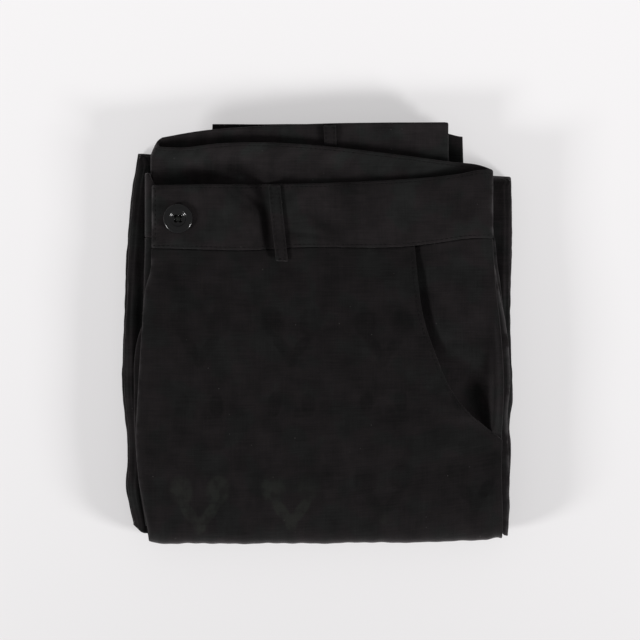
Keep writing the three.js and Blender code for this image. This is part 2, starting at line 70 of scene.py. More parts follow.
HOLLOWS = [  # x, y, reach across, reach along, share of its height that the pile loses there
    (-68, 97, 30, 17, 0.230),
    (-62, 121, 36, 8, 0.100),
    (-25, 70, 14, 24, 0.080),
    (-40, 90, 10, 11, 0.060),
    (71, 20, 15, 34, 0.150),
    (86, -18, 15, 22, 0.150),
    (94, -40, 15, 17, 0.190),
]
LEG_PLIES = 8
WAIST_END, WAIST_END_ROUND = (110.6, 96.2), 6.2  # where the fold at the waist end lies, left and right
CORNER_LEFT, CORNER_RIGHT = 6.0, 2.4
PLY_SLIT = 1.9
THIRD_INSIDE_LEFT, THIRD_INSIDE_RIGHT = 1.6, 0.9
WELT, WELT_HEIGHT = (3.4, 2.4), 1.3  # how far inside the edge it lies and its reach, and its height
TRENCH = (9.0, 3.2)
TRENCH_BY_PANELS, TRENCH_BY_BANDS = (1.6, 2.4), (0.6, 0.1)  # its depth on the left and on the right
PUFF_LEFT, PUFF_RIGHT = 4.2, 6.0
RIPPLE_HEIGHT, RIPPLE_TURN, RIPPLE_REACH = 0.45, 2.4, 7.0
END_DROOP = 1.4
# How far in from a cloth's side edges the pale edges reach: partly wear, partly painted sheen.
RUBBED_AND_SHEEN_REACH = 0.9


def ease(at, low, high):
    """Smoothstep: 0 below low, 1 above high, and level at both ends."""
    t = np.clip((at - low) / (high - low), 0, 1)
    return t * t * (3 - 2 * t)


def mix(a, b, share):
    """a where share is 0 and b where it is 1."""
    return a + (b - a) * share


def bell(at, middle, reach):
    """exp(-((at - middle) / reach)^2): 1 in the middle, and nearly 0 two reaches away."""
    return np.exp(-(((at - middle) / reach) ** 2))


def fade(at, reach):
    """exp(-at / reach): 1 at and below 0, falling off above it."""
    return np.exp(-np.maximum(at, 0) / reach)


def round_inset(at):
    """1 - sqrt(1 - (2 at - 1)^2): how far a half round from 0 to 1 draws in, 1 at its ends, 0 midway."""
    return 1 - np.sqrt(np.maximum(0, 1 - (2 * at - 1) ** 2))


def humps(rows, x, y):
    """The sum of rows of x, y, reach across, reach along and size, each a bell both ways times its size."""
    return sum(size * bell(x, a, across) * bell(y, b, along) for a, b, across, along, size in rows)


def through(rows, at):
    """A smooth line through (place, value) rows: a cubic between each two, sloped as its neighbours are."""
    place, value = np.array(sorted(rows), float).T
    slope = np.gradient(value, place)
    at = np.clip(at, place[0], place[-1])
    i = np.clip(np.searchsorted(place, at, side="right") - 1, 0, len(place) - 2)
    span = place[i + 1] - place[i]
    t = (at - place[i]) / span
    ends = (1 + 2 * t) * (1 - t) ** 2 * value[i] + t * t * (3 - 2 * t) * value[i + 1]
    return ends + span * (t * (1 - t) ** 2 * slope[i] + t * t * (t - 1) * slope[i + 1])


def wander(x, y, size, seed):
    """A soft uneven height from about -1 to 1: nine sine waves near size long, in seeded directions."""
    draw = np.random.default_rng(seed)
    total = np.zeros(np.broadcast(x, y).shape)
    for angle, phase, stretch in draw.uniform((0, 0, 0.6), (np.pi, 2 * np.pi, 1.7), (9, 3)):
        total += np.sin(2 * np.pi * (x * np.cos(angle) + y * np.sin(angle)) / (size * stretch) + phase)
    return total / 4.5


def level(layer, y):
    """Height of a layer's upper side at y, from the panels' level to the waistbands'."""
    return mix(*LEVELS[layer], ease(y, PANEL_END, WAIST_START))


def pressed(x, y, z):
    """z less the share that the soft pile below loses in its broad hollows."""
    return z * (1 - humps(HOLLOWS, x, y))


def ended(count, draw=0.6):
    """count + 1 stops from 0 to 1, drawn together towards both ends."""
    t = np.linspace(0, 1, count + 1)
    return mix(t, (1 - np.cos(np.pi * t)) / 2, draw)


def unit(vectors):
    """The vectors, each divided by its length."""
    return vectors / np.linalg.norm(vectors, axis=-1, keepdims=True)


def border(rows, columns):
    """Indices round a grid of rows by columns, once, from its first corner along its first row."""
    cell = np.arange(rows * columns).reshape(rows, columns)
    return np.concatenate([cell[0, :-1], cell[:-1, -1], cell[-1, :0:-1], cell[:0:-1, 0]])


def cloth_length(points):
    """Each grid point's place on the flat cloth in metres: the way along its row, and down its column.

    The third value marks the pale edges, partly wear and partly painted sheen: 1 at the two side edges,
    falling off inside them over 0.9 mm.
    """
    across = np.pad(np.linalg.norm(np.diff(points, axis=1), axis=2).cumsum(axis=1), ((0, 0), (1, 0)))
    down = np.pad(np.linalg.norm(np.diff(points, axis=0), axis=2).cumsum(axis=0), ((1, 0), (0, 0)))
    edge = fade(np.minimum(across, across[:, -1:] - across), RUBBED_AND_SHEEN_REACH)
    return np.stack([(points[:, :1, 0] + across) * MM, (points[:1, :, 1] - down) * MM, edge], axis=2)


def mesh_piece(name, body, material):
    """A smooth mesh of a body's quads, from points in millimetres, with the flat cloth's place as UV map."""
    points, quads, cloth = body
    mesh = bpy.data.meshes.new(name)
    mesh.vertices.add(len(points))
    mesh.vertices.foreach_set("co", (points * MM).ravel())
    mesh.loops.add(quads.size)
    mesh.loops.foreach_set("vertex_index", quads.ravel())
    mesh.polygons.add(len(quads))
    mesh.polygons.foreach_set("loop_start", np.arange(len(quads)) * 4)
    mesh.update(calc_edges=True)
    mesh.polygons.foreach_set("use_smooth", np.ones(len(quads), bool))
    mesh.uv_layers.new(name="cloth").data.foreach_set("uv", cloth[quads.ravel(), :2].ravel())
    if cloth.shape[1] == 3:
        mesh.attributes.new("rubbed_and_sheen_edge", "FLOAT", "POINT").data.foreach_set("value", cloth[:, 2])
    mesh.materials.append(material)
    piece = bpy.data.objects.new(name, mesh)
    bpy.context.scene.collection.objects.link(piece)
    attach(piece, "root")
    return piece


def dressed(node_name, body, material, name=None):
    """The piece that stands for a CAD node, with the node's name and _cloth unless another is given."""
    piece = mesh_piece(name or f"{node_name}_cloth", body, material)
    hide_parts(node_name)
    return piece


def closed(upper, lower, rims, cloth):
    """Points, quads and cloth places of a closed body: an upper and a lower grid, and rings between."""
    rows, columns = upper.shape[:2]
    count = rows * columns
    loop = border(rows, columns)
    cell = np.arange(count).reshape(rows, columns)
    top = np.stack([cell[:-1, :-1], cell[1:, :-1], cell[1:, 1:], cell[:-1, 1:]], axis=2).reshape(-1, 4)
    bottom = top[:, ::-1] + count
    rings = [loop] + [2 * count + k * len(loop) + np.arange(len(loop)) for k in range(len(rims))]
    rings.append(loop + count)
    sides = [
        np.stack([np.roll(a, -1), np.roll(b, -1), b, a], axis=1) for a, b in zip(rings[:-1], rings[1:])
    ]
    points = np.concatenate([upper.reshape(-1, 3), lower.reshape(-1, 3), *rims])
    places = cloth.reshape(count, -1)
    rim_places = [places[loop]] * len(rims)
    return points, np.concatenate([top, bottom, *sides]), np.concatenate([places, places, *rim_places])


def layered(point, columns, rows, levels):
    """A closed body of plies: point(u, v, level) gives its under side at 0 and its top at 1."""
    u, v = np.meshgrid(columns, rows)
    upper, lower = point(u, v, 1.0), point(u, v, 0.0)
    loop = border(*u.shape)
    rims = [point(u.ravel()[loop], v.ravel()[loop], at) for at in levels[::-1][1:-1]]
    return closed(upper, lower, rims, cloth_length(upper)[..., :2])


PATTERNS = {  # how many a metre, and how fine, each soft pattern in the cloth is
    "drift": (420.0, 2.0),
    "cloud": (26.0, 3.0),
    "mottle": (75.0, 3.0),
    "tint": (44.0, 2.0),
    "worn_sprig": (150.0, 4.0),
    "worn_and_sheen_edge": (110.0, 3.0),
}
SLUBS = [(55.0, 1300.0, 3.0, 1.0), (1100.0, 45.0, 2.0, 0.55)]  # a metre across, down, how fine, strength
THREAD_PITCH = 0.00055
THREAD_SHADING = (0.72, 1.12)  # painted shade in the hollows between threads, and painted highlight on their ridges
# The last share here is how much of the sprig turns to its painted sheen colour.
SLUB_TONE, CLOUD_TONE, MOTTLE_TONE, SPRIG_TONE, SPRIG_SHEEN_SHARE = 1.15, 0.85, 1.5, -0.56, 0.5
WARM_TINT, GREEN_TINT = (1.05, 0.98, 1.0, 1), (0.90, 1.08, 1.02, 1)
# The colour of the sprig's painted sheen, and of the pale edges: partly wear, partly painted sheen.
SPRIG_SHEEN_COLOUR, RUBBED_AND_SHEEN_EDGE = (0.0160, 0.0185, 0.0150, 1), (0.046, 0.043, 0.044, 1)
LINT, LINT_A_METRE, LINT_SIZE, LINT_RARITY = (0.075, 0.070, 0.068, 1), 150.0, (0.06, 0.015), 0.955
THREAD_HEIGHT, SLUB_HEIGHT, LINT_HEIGHT = 0.00012, 0.00016, 0.0003
SPRIG_PITCH, SPRIG_START = (0.0562, 0.1032), (0.0157, 0.0022)
PETALS = {  # out from the sprig's middle, up, length, width, lean, strength
    "leaf": (0.0062, -0.0062, 0.0090, 0.0034, -0.60, 1.0),
    "round_petal": (0.0112, 0.0080, 0.0086, 0.0070, -0.2, 1.0),
    "bud": (0.0, -0.0140, 0.0056, 0.0038, 0.0, 1.0),
    "short_leaf": (0.0104, -0.0430, 0.0076, 0.0042, 0.06, 1.0),
    "foot_leaf": (0.0046, -0.0510, 0.0060, 0.0030, 0.3, 0.6),
}
WEAVE_START = {"Slub": 1.0, "Sprig": 0.0, "Edge": 0.0, "Wear": 0.0}


def fill(tree, target, inputs):
    """Link each of a node's inputs from a socket, or set it to a value."""
    for name, value in dict(inputs).items():
        if isinstance(value, bpy.types.NodeSocket):
            tree.links.new(value, target.inputs[name])
        else:
            target.inputs[name].default_value = value


def node(tree, kind, inputs=(), **settings):
    """A new shader node of a kind, with its settings and its inputs."""
    made = tree.nodes.new(f"ShaderNode{kind}")
    for name, value in settings.items():
        setattr(made, name, value)
    fill(tree, made, inputs)
    return made


def weave_group():
    """The black cloth of every piece: plain weave, slubs, lint and a very faint sprig, on the flat cloth."""
    group = bpy.data.node_groups.new("black_weave", "ShaderNodeTree")
    inputs = {"Place": "Vector", "Colour": "Color", **dict.fromkeys(WEAVE_START, "Float")}
    outputs = {"Colour": "Color", "Roughness": "Float", "Height": "Float"}
    sockets = [("INPUT", *row) for row in inputs.items()] + [("OUTPUT", *row) for row in outputs.items()]
    for way, name, kind in sockets:
        socket = group.interface.new_socket(name, in_out=way, socket_type=f"NodeSocket{kind}")
        if name in WEAVE_START:
            socket.default_value = WEAVE_START[name]
    given = group.nodes.new("NodeGroupInput").outputs
    place = given["Place"]

    def calc(operation, *values):
        return node(group, "Math", enumerate(values), operation=operation).outputs[0]

    def joined(operation):
        return lambda *values: functools.reduce(lambda a, b: calc(operation, a, b), values)

    plus, minus, times, most = (joined(name) for name in ("ADD", "SUBTRACT", "MULTIPLY", "MAXIMUM"))

    def noise(scale, detail, at=place):
        inputs = {"Vector": at, "Scale": scale, "Detail": detail}
        return node(group, "TexNoise", inputs, noise_dimensions="2D").outputs["Fac"]

    def between(value, low, high):
        inputs = {"Value": value, "From Min": low, "From Max": high}
        return node(group, "MapRange", inputs, interpolation_type="SMOOTHSTEP").outputs["Result"]

    def from_to(low, high, share):
        return plus(times(share, high - low), low)

    def blend(share, a, b):
        return node(group, "Mix", {"Factor": share, "A": a, "B": b}, data_type="RGBA").outputs["Result"]

    across, down = node(group, "SeparateXYZ", {0: place}).outputs[:2]
    # Threads: warp and weft ridges that pass over each other in turn, a little out of line.
    drift = times(minus(noise(*PATTERNS["drift"]), 0.5), 1.5)
    turns = (plus(times(way, 1 / THREAD_PITCH), drift) for way in (across, down))
    warp, weft = (calc("SINE", times(turn, np.pi)) for turn in turns)
    over = between(times(warp, weft), -0.35, 0.35)
    threads = plus(times(calc("ABSOLUTE", warp), over), times(calc("ABSOLUTE", weft), minus(1.0, over)))
    # Slubs: thicker stretches of yarn, mostly along the weft.
    slub = 0.0
    for a_metre_across, a_metre_down, detail, strength in SLUBS:
        along = node(group, "CombineXYZ", {0: times(across, a_metre_across), 1: times(down, a_metre_down)})
        slub = plus(slub, times(minus(noise(1.0, detail, along.outputs[0]), 0.5), strength))
    slub = times(slub, given["Slub"])
    # Sprig: two long leaves in a V with a bud at its foot and a round petal on each side, and pairs
    # of short leaves between. It is a little worn. Painted sheen makes it paler at the panel's lower left;
    # elsewhere it is darker.
    sprig_x, sprig_y = (
        calc("WRAP", plus(way, first), pitch / 2, -pitch / 2)
        for way, first, pitch in zip((across, down), SPRIG_START, SPRIG_PITCH)
    )
    side = calc("ABSOLUTE", sprig_x)

    def petal(out, up, length, width, lean, strength):
        x, y = minus(side, out), minus(sprig_y, up)
        cos, sin = float(np.cos(lean)), float(np.sin(lean))
        a = calc("DIVIDE", plus(times(x, cos), times(y, sin)), width)
        b = calc("DIVIDE", minus(times(y, cos), times(x, sin)), length)
        return times(between(plus(times(a, a), times(b, b)), 1.5, 0.5), strength)

    worn = from_to(0.4, 1.0, between(noise(*PATTERNS["worn_sprig"]), 0.38, 0.6))
    motif = times(most(*(petal(*row) for row in PETALS.values())), worn, given["Sprig"])
    painted_sheen = between(minus(times(across, -0.5), down), 0.088, 0.116)
    # Lint: small pale specks, in about one cell of twenty.
    inputs = {"Vector": place, "Scale": LINT_A_METRE}
    cells = node(group, "TexVoronoi", inputs, voronoi_dimensions="2D").outputs
    picked = node(group, "SeparateColor", {0: cells["Color"]}).outputs
    rare = calc("GREATER_THAN", picked[0], LINT_RARITY)
    speck = times(between(cells["Distance"], *LINT_SIZE), rare, picked[1])
    # Tone of the cloth: painted shade darkens the threads' hollows and painted highlight lightens their
    # ridges; slubs, clouds and mottle shift it a little.
    cloud, mottle = (minus(noise(*PATTERNS[name]), 0.5) for name in ("cloud", "mottle"))
    tone = plus(from_to(*THREAD_SHADING, threads), times(slub, SLUB_TONE), times(cloud, CLOUD_TONE))
    tone = plus(tone, times(mottle, MOTTLE_TONE), times(motif, from_to(SPRIG_TONE, 0.0, painted_sheen)))
    toned = node(group, "VectorMath", {0: given["Colour"], "Scale": tone}, operation="SCALE").outputs[0]
    tint = blend(between(noise(*PATTERNS["tint"]), 0.48, 0.62), WARM_TINT, GREEN_TINT)
    toned = node(group, "VectorMath", {0: toned, 1: tint}, operation="MULTIPLY").outputs[0]
    # Pale edges: partly wear, and partly painted sheen where the cloth turns over at its edges.
    rubbed_and_sheen = times(given["Edge"], between(noise(*PATTERNS["worn_and_sheen_edge"]), 0.36, 0.60), given["Wear"])
    # The sprig's painted sheen: its share of the paler colour.
    pale = times(motif, painted_sheen, SPRIG_SHEEN_SHARE)
    for share, colour in ((pale, SPRIG_SHEEN_COLOUR), (rubbed_and_sheen, RUBBED_AND_SHEEN_EDGE), (speck, LINT)):
        toned = blend(share, toned, colour)
    height = plus(times(threads, THREAD_HEIGHT), times(slub, SLUB_HEIGHT), times(speck, LINT_HEIGHT))
    roughness = minus(0.95, times(threads, 0.12))
    out = group.nodes.new("NodeGroupOutput")
    fill(group, out, {"Colour": toned, "Roughness": roughness, "Height": height})
    return group


BLACK_WEAVE = weave_group()


def new_material(name, inputs):
    """A material with plain values on its shader's sockets, its node tree, and the shader."""
    material = bpy.data.materials.new(name)
    material.use_nodes = True
    shader = material.node_tree.nodes["Principled BSDF"]
    fill(material.node_tree, shader, inputs)
    return material, material.node_tree, shader


def cloth_material(name, colour, sheen=0.25, **settings):
    """A matte black cloth: the weave group's colour, roughness and height on a plain cloth shader."""
    material, tree, shader = new_material(name, {
        "Specular IOR Level": 0.12,
        "Sheen Weight": sheen,
        "Sheen Roughness": 0.45,
        "Sheen Tint": (0.745, 0.69, 0.705, 1),
    })
    place = node(tree, "UVMap", uv_map="cloth").outputs[0]
    edge = node(tree, "Attribute", attribute_name="rubbed_and_sheen_edge").outputs["Fac"]
    inputs = {"Place": place, "Colour": (*colour, 1), "Edge": edge, **settings}
    weave = node(tree, "Group", inputs, node_tree=BLACK_WEAVE).outputs
    bump = node(tree, "Bump", {"Strength": 0.6, "Distance": 1.0, "Height": weave["Height"]}).outputs[0]
    fill(tree, shader, {"Base Color": weave["Colour"], "Roughness": weave["Roughness"], "Normal": bump})
    return material


LEG_CLOTH = cloth_material("leg_cloth", (0.0088, 0.0077, 0.0080))


def folded_legs(u, v, at):
    """Eight plies between the long edges, each with its own round and wandering edge and a slit between.

    The height is the level, plus the welt along the edges, less the trench inside it, plus ripples.
    """
    ply = np.minimum(np.floor(at * LEG_PLIES), LEG_PLIES - 1)
    round_edge = np.abs(np.sin(np.pi * LEG_PLIES * at)) ** 0.6
    foot_x = mix(LEGS_LEFT[-1][1], LEGS_RIGHT[-1][1], u)
    corner = CORNER_LEFT * ease(foot_x, -117.8, -108.5) * ease(-foot_x, 103, 106)
    corner = corner + CORNER_RIGHT * ease(foot_x, 107, 112)
    y = mix(mix(*WAIST_END, u) - WAIST_END_ROUND * round_inset(at), FOLD_LINE + 0.6 - corner, v)
    slit = PLY_SLIT * (1 - round_edge)
    long_waves = 0.6 * wander(y, ply * 37.0, size=70.0, seed=3)
    own = round_edge * (0.5 + long_waves + 0.25 * wander(y, ply * 53.0, size=14.0, seed=4))
    third_length = ease(at, 0.45, 0.55)
    left = through(LEGS_LEFT, y) + slit + own + THIRD_INSIDE_LEFT * third_length
    right = through(LEGS_RIGHT, y) - slit - own - THIRD_INSIDE_RIGHT * third_length
    x = mix(left, right, u)
    inside = np.minimum(x - left, right - x)
    welt = (WELT_HEIGHT + 0.5 * wander(x, y, size=40.0, seed=5)) * bell(inside, *WELT)
    welt = welt * mix(1, 0.5, ease(y, 25, 60))
    by_panels, by_bands = (mix(*depth, ease(x, 0, 60)) for depth in (TRENCH_BY_PANELS, TRENCH_BY_BANDS))
    trench = mix(by_panels, by_bands, ease(y, 20, 55)) * bell(inside, *TRENCH)
    puffed = PUFF_RIGHT * ease(x, 103, 107) + PUFF_LEFT * ease(-x, 103, 106.5)
    puffed = puffed * ease(y, 15, 50) * ease(-y, -104, -92)
    turn = RIPPLE_TURN * inside + 1.3 * wander(y, 0.0, size=60.0, seed=6)
    ripples = RIPPLE_HEIGHT * np.sin(turn) * fade(inside, RIPPLE_REACH)
    forms = welt - trench * ease(y, -70, 10) + ripples + puffed
    height = level("folded", y) - END_DROOP * ease(y, 88, 112) + forms
    waves = 0.25 * wander(x, y, size=30.0, seed=7) * ease(at, 0.05, 0.4)
    return np.stack([x, y, pressed(x, y, at * height + waves)], axis=-1)


edge_stops = np.array([0, 0.8, 1.8, 2.8, 3.8, 5.0, 6.2, 7.6, 9.0, 10.6, 12.5, 15.0]) / 236
leg_columns = np.concatenate([edge_stops, np.linspace(0.09, 0.91, 22), 1 - edge_stops[::-1]])
leg_body = layered(folded_legs, leg_columns, ended(170), np.linspace(0, 1, LEG_PLIES * 6 + 1))
folded = dressed("folded_legs", leg_body, LEG_CLOTH)

# Leg ends: the last length of each leg, a flat tube of two plies that comes back up to its hem.
# The hem is turned up inside. The left leg's hem lies over the right leg's, a little higher.
LEG_END_LEFT = [
    (128, -65.0), (81, -69.5), (32, -92.0), (2, -109.0), (-40, -113.0), (-85, -111.0), (-118, -106.0),
]
LEG_END_RIGHT = [(128, 80.0), (70, 84.0), (10, 104.0), (-60, 107.5), (-118, 107.0)]
LEG_TUBE = (2.5, 2.3)  # thickness between the panels, and between the waistbands
LEG_ROUND, HEM_SLIT, HEM_DEPTH, HEM_DROOP = 1.2, 0.9, 23, 1.1


def leg_end(layer, hem_y, shift, slope, seed):
    """The flat tube's body: two plies with round side folds, and a slit between them at the hem."""

    def point(u, v, at):
        round_edge = LEG_ROUND * round_inset(at)
        slit = HEM_SLIT * bell(at, 0.5, 0.12)
        hem_wave = 0.35 * wander(u * 150, at * 9, size=40.0, seed=seed)
        hem = hem_y + slope * (1 - ease(u, 0.9, 1.0)) - 0.3 * round_edge - 3 * slit + hem_wave
        y = mix(hem, FOLD_LINE - 0.2 + round_edge, v)
        moved = shift * ease(y, 20, 90) + 0.4 * wander(y, at * 6, size=35.0, seed=seed + 1)
        left = through(LEG_END_LEFT, y) + moved + round_edge + slit
        right = through(LEG_END_RIGHT, y) + moved - round_edge - slit
        x = mix(left, right, u)
        thick = mix(*LEG_TUBE, ease(y, PANEL_END, WAIST_START))
        turned_hem = 0.12 * ease(y, hem_y - HEM_DEPTH, hem_y - HEM_DEPTH + 1)
        droop = HEM_DROOP * ease(y, 100, 128) + 0.14 * wander(x, y, size=28.0, seed=seed + 2)
        z = level(layer, y) - droop - (1 - at) * thick + turned_hem * (at - 0.5)
        return np.stack([x, y, pressed(x, y, z)], axis=-1)

    return layered(point, ended(46), ended(110), np.linspace(0, 1, 17))


right_end_body = leg_end("leg_right", hem_y=120.5, shift=9, slope=2.8, seed=11)
right_end = dressed("leg_right_end", right_end_body, LEG_CLOTH)
left_end_body = leg_end("leg_left", hem_y=128.2, shift=0, slope=0.0, seed=21)
left_end = dressed("leg_left_end", left_end_body, LEG_CLOTH)

# Right front: the innermost ply of the first length. Its fly edge shows as a narrow strip on the left.
# It turns round the centre fold, lies flat underneath, and goes round the lower fold with the others.
CLOTH = 1.2
GAP = 0.3
BAND_HEIGHT = 39.4
UNDERLAP_TOP, UNDERLAP_WIDTH, UNDERLAP_SINK = 97.6, 12, 2.9
PANEL_SHARE = 0.8  # of a panel's rows, which lie flat above the lower fold
WAIST_SHARE = 0.3  # of its rows, over which the waist's slant eases out
EDGE_FALL, EDGE_REACH = 1.1, 3
SETTLED, SETTLED_REACH = 1.6, 7
CENTRE_FOLD = [
    (98, -106.1), (51, -106.3), (20, -106.9), (-17, -109.3), (-50, -111.2),
    (-67, -111.8), (-87, -110.5), (-105, -107.5), (-122, -104.6), (-160, -106.6),
]
SIDE_LEFT = [
    (99, 107.7), (56, 107.5), (29, 109.2), (0, 112.4), (-32, 114.2),
    (-64, 112.9), (-84, 112.4), (-110, 113.0), (-160, 112.0),
]
SIDE_RIGHT = [
    (104, 80.4), (88, 84.0), (60, 101.0), (43, 107.4), (24, 111.5),
    (4, 115.6), (-25, 118.0), (-58, 116.2), (-78, 117.4), (-160, 115.6),
]
FOLD_START = -102.0
FOLD_REACH = 27.4
FOLD_SQUARE = 3.2
FOLD_RAGGED = [  # x, and how much further than FOLD_REACH the lower fold reaches there
    (-112, 1.4), (-102, 1.3), (-88, 0.8), (-40, 0.5), (0, 0.3), (30, 0.0),
    (60, -0.3), (80, -0.6), (95, -1.5), (103, -2.0), (112.8, -1.3), (115.2, 1.6),
]
FRONT_CLOTH = cloth_material("front_cloth", (0.0058, 0.0050, 0.0052), sheen=0.22, Sprig=1.0, Wear=0.45)


def fold_curve():
    """Half of |out|^n + |up|^n = 1 from its top to its bottom: length along it in millimetres, out, up."""
    turn = np.linspace(0, np.pi, 400)
    out = np.sin(turn) ** (2 / FOLD_SQUARE)
    up = np.sign(np.cos(turn)) * np.abs(np.cos(turn)) ** (2 / FOLD_SQUARE)
    step = np.hypot(FOLD_REACH * np.diff(out), STACK_HEIGHT / 2 * np.diff(up))
    return np.concatenate([[0], step.cumsum()]), out, up


FOLD_LENGTH, FOLD_OUT, FOLD_UP = fold_curve()
FOLD_TURN = FOLD_START - FOLD_LENGTH[-1] + (FOLD_START - FOLD_LINE)


def edge_share(x, y):
    """1 at the centre fold or the left side seam, falling off to 0 inside."""
    return fade(np.minimum(x - through(CENTRE_FOLD, y), through(SIDE_LEFT, y) - x), EDGE_REACH)


def settled(x, y, z):
    """z as the upper layers sink together towards the centre fold, below the waistbands."""
    share = fade(x - through(CENTRE_FOLD, y), SETTLED_REACH) * ease(-y, -50, -25) * ease(y, -124, -96)
    return z - SETTLED * share * np.clip((z - 12) / (STACK_HEIGHT - 12), 0, 1)


def on_stack(x, y, z):
    """Points of the first length: flat down to FOLD_START, and past it round the lower fold to below."""
    z = settled(x, y, z)
    depth = STACK_HEIGHT - z
    along = np.maximum(FOLD_START - y, 0)
    ragged = through(FOLD_RAGGED, x) + 0.3 * wander(x, 0.0, size=7.0, seed=81)
    out = (FOLD_REACH + ragged - depth) * np.interp(along, FOLD_LENGTH, FOLD_OUT)
    up = STACK_HEIGHT / 2 + (STACK_HEIGHT / 2 - depth) * np.interp(along, FOLD_LENGTH, FOLD_UP)
    return np.stack([x, np.maximum(y, FOLD_START) - out, np.where(y < FOLD_START, up, z)], axis=-1)


def panel_rows(flat, bend):
    """Stops down a panel: PANEL_SHARE of it in flat rows, and the rest in rows round the lower fold."""
    return np.interp(np.arange(flat + bend + 1), (0, flat, flat + bend), (0, PANEL_SHARE, 1))


def panel_y(top_y, v):
    """How far along the garment a row lies, running on past the fold line."""
    flat = mix(top_y, FOLD_START, np.minimum(v / PANEL_SHARE, 1))
    return flat + mix(0, FOLD_TURN - FOLD_START, np.maximum((v - PANEL_SHARE) / (1 - PANEL_SHARE), 0))


def slanted(waist, x, straight, v, middle=0.0):
    """straight, moved at the top by the waist line's slant away from middle, and less down to WAIST_SHARE."""
    return straight + (through(waist, x) - through(waist, middle)) * (1 - ease(v, 0, WAIST_SHARE))


def tucked(face, half):
    """The face with its borders drawn in by half, easing off over three times that."""
    for axis in (0, 1):
        step = np.linalg.norm(np.diff(face, axis=axis), axis=2, keepdims=True)
        start = np.concatenate([np.zeros_like(step.take([0], axis)), step.cumsum(axis)], axis)
        end = start.take([-1], axis) - start
        pull = np.clip(1 - start / (3 * half), 0, 1) - np.clip(1 - end / (3 * half), 0, 1)
        face = face + half * pull * unit(np.gradient(face, axis=axis))
    return face


def shell(face, thickness):
    """A closed sheet: face is its upper side, the lower side a thickness below, and a half-round rim."""
    thickness = np.broadcast_to(thickness, face.shape[:2])[..., None]
    face = tucked(face, thickness / 2)
    down, across = np.gradient(face, axis=(0, 1))
    normal = unit(np.cross(down, across))
    outward = np.zeros_like(face)
    for end, way in ((0, -1), (-1, 1)):
        outward[end] += way * unit(down[end])
        outward[:, end] += way * unit(across[:, end])
    loop = border(*face.shape[:2])
    edge, side, out = (values.reshape(-1, 3)[loop] for values in (face, normal, outward))
    half = thickness.reshape(-1, 1)[loop] / 2
    rims = [
        edge - side * half + (side * np.cos(a) + unit(out) * np.sin(a)) * half
        for a in np.linspace(0, np.pi, 7)[1:-1]
    ]
    return closed(face, face - normal * thickness, rims, cloth_length(face))


def round_left(t, share, start_x, left_x, end_x, top_z, low_z):
    """Across the stack from start_x on top, down round the left side, and back below to end_x: x and z."""
    half = (top_z - low_z) / 2
    turn_x = left_x + half
    top, turn = share
    angle = np.pi * np.clip((t - top) / turn, 0, 1)
    x = np.where(t < top, mix(start_x, turn_x, t / top), turn_x - half * np.sin(angle))
    x = np.where(t > top + turn, mix(turn_x, end_x, (t - top - turn) / (1 - top - turn)), x)
    return x, low_z + half + half * np.cos(angle)


def turn_stops(share, on_top, turning, below):
    """Values of t for round_left, from its far end back to its start, so that the outer side faces out."""
    counts, places = np.cumsum([0, on_top, turning, below]), np.cumsum([0, *share, 1 - sum(share)])
    return np.interp(np.arange(counts[-1] + 1), counts, places)[::-1]


def underlap_skew(x):
    """How far the right half's waist runs up towards the side, under the left half."""
    return 0.15 * np.maximum(0, x + 102)


def front_right(share):
    """The right front's outer side: share gives how much of its width lies on top, and in the turn."""
    t, v = np.meshgrid(turn_stops(share, on_top=8, turning=22, below=44), panel_rows(flat=110, bend=34))
    straight = panel_y(UNDERLAP_TOP - BAND_HEIGHT - GAP, v)
    left = through(CENTRE_FOLD, straight) + 0.25 * wander(straight, 0.0, size=26.0, seed=31)
    right = through(SIDE_RIGHT, straight) - 0.8
    low = level("front_right", straight) - CLOTH
    high = level("underlap", straight) - UNDERLAP_SINK * (1 - ease(straight, 18, 40))
    x, z = round_left(t, share, left + UNDERLAP_WIDTH, left, right, high, low)
    below = ease(t, share[0], sum(share))
    y = straight + underlap_skew(x) * (1 - ease(v, 0, WAIST_SHARE)) * below
    rise = level("front_right", y) - level("front_right", straight)
    fall = 0.8 * EDGE_FALL * edge_share(x, y) * ease(x, 60, 80)
    edge_wave = 0.3 * wander(y, x * 0.2, size=24.0, seed=32) * ease(x, 95, 116)
    return on_stack(x + edge_wave, y, mix(z, pressed(x, y, z + rise * below - fall), below))


right_front_body = shell(front_right((0.1, 0.2)), CLOTH)
right_front = dressed("front_right", right_front_body, FRONT_CLOTH)

# Backs: the right back and then the left back, flat between the two fronts, of the same black cloth.
# Only their side edges show, one over the other, and where they go round the lower fold.
BACK_CLOTH = cloth_material("back_cloth", (0.0088, 0.0077, 0.0080), Wear=1.0)
BACK_LEFT_BAND_TOP = [
    (-102, 113.8), (-84, 113.0), (-62, 115.5), (-36, 116.3), (0, 114.3), (46, 109.0), (82, 104.4),
    (100, 102.2), (107, 99.7),
]
BACK_RIGHT_BAND_TOP = [(-102, 118.5), (-72, 124.0), (-34, 126.8), (4, 128.2), (80, 129.0)]
BACK_INSIDE, BACK_BELOW_BAND = 13, 1.1  # how far a back starts from the centre fold, and below its band
SIDE_WELT, SIDE_WELT_HEIGHT = (2.2, 1.3), 0.5


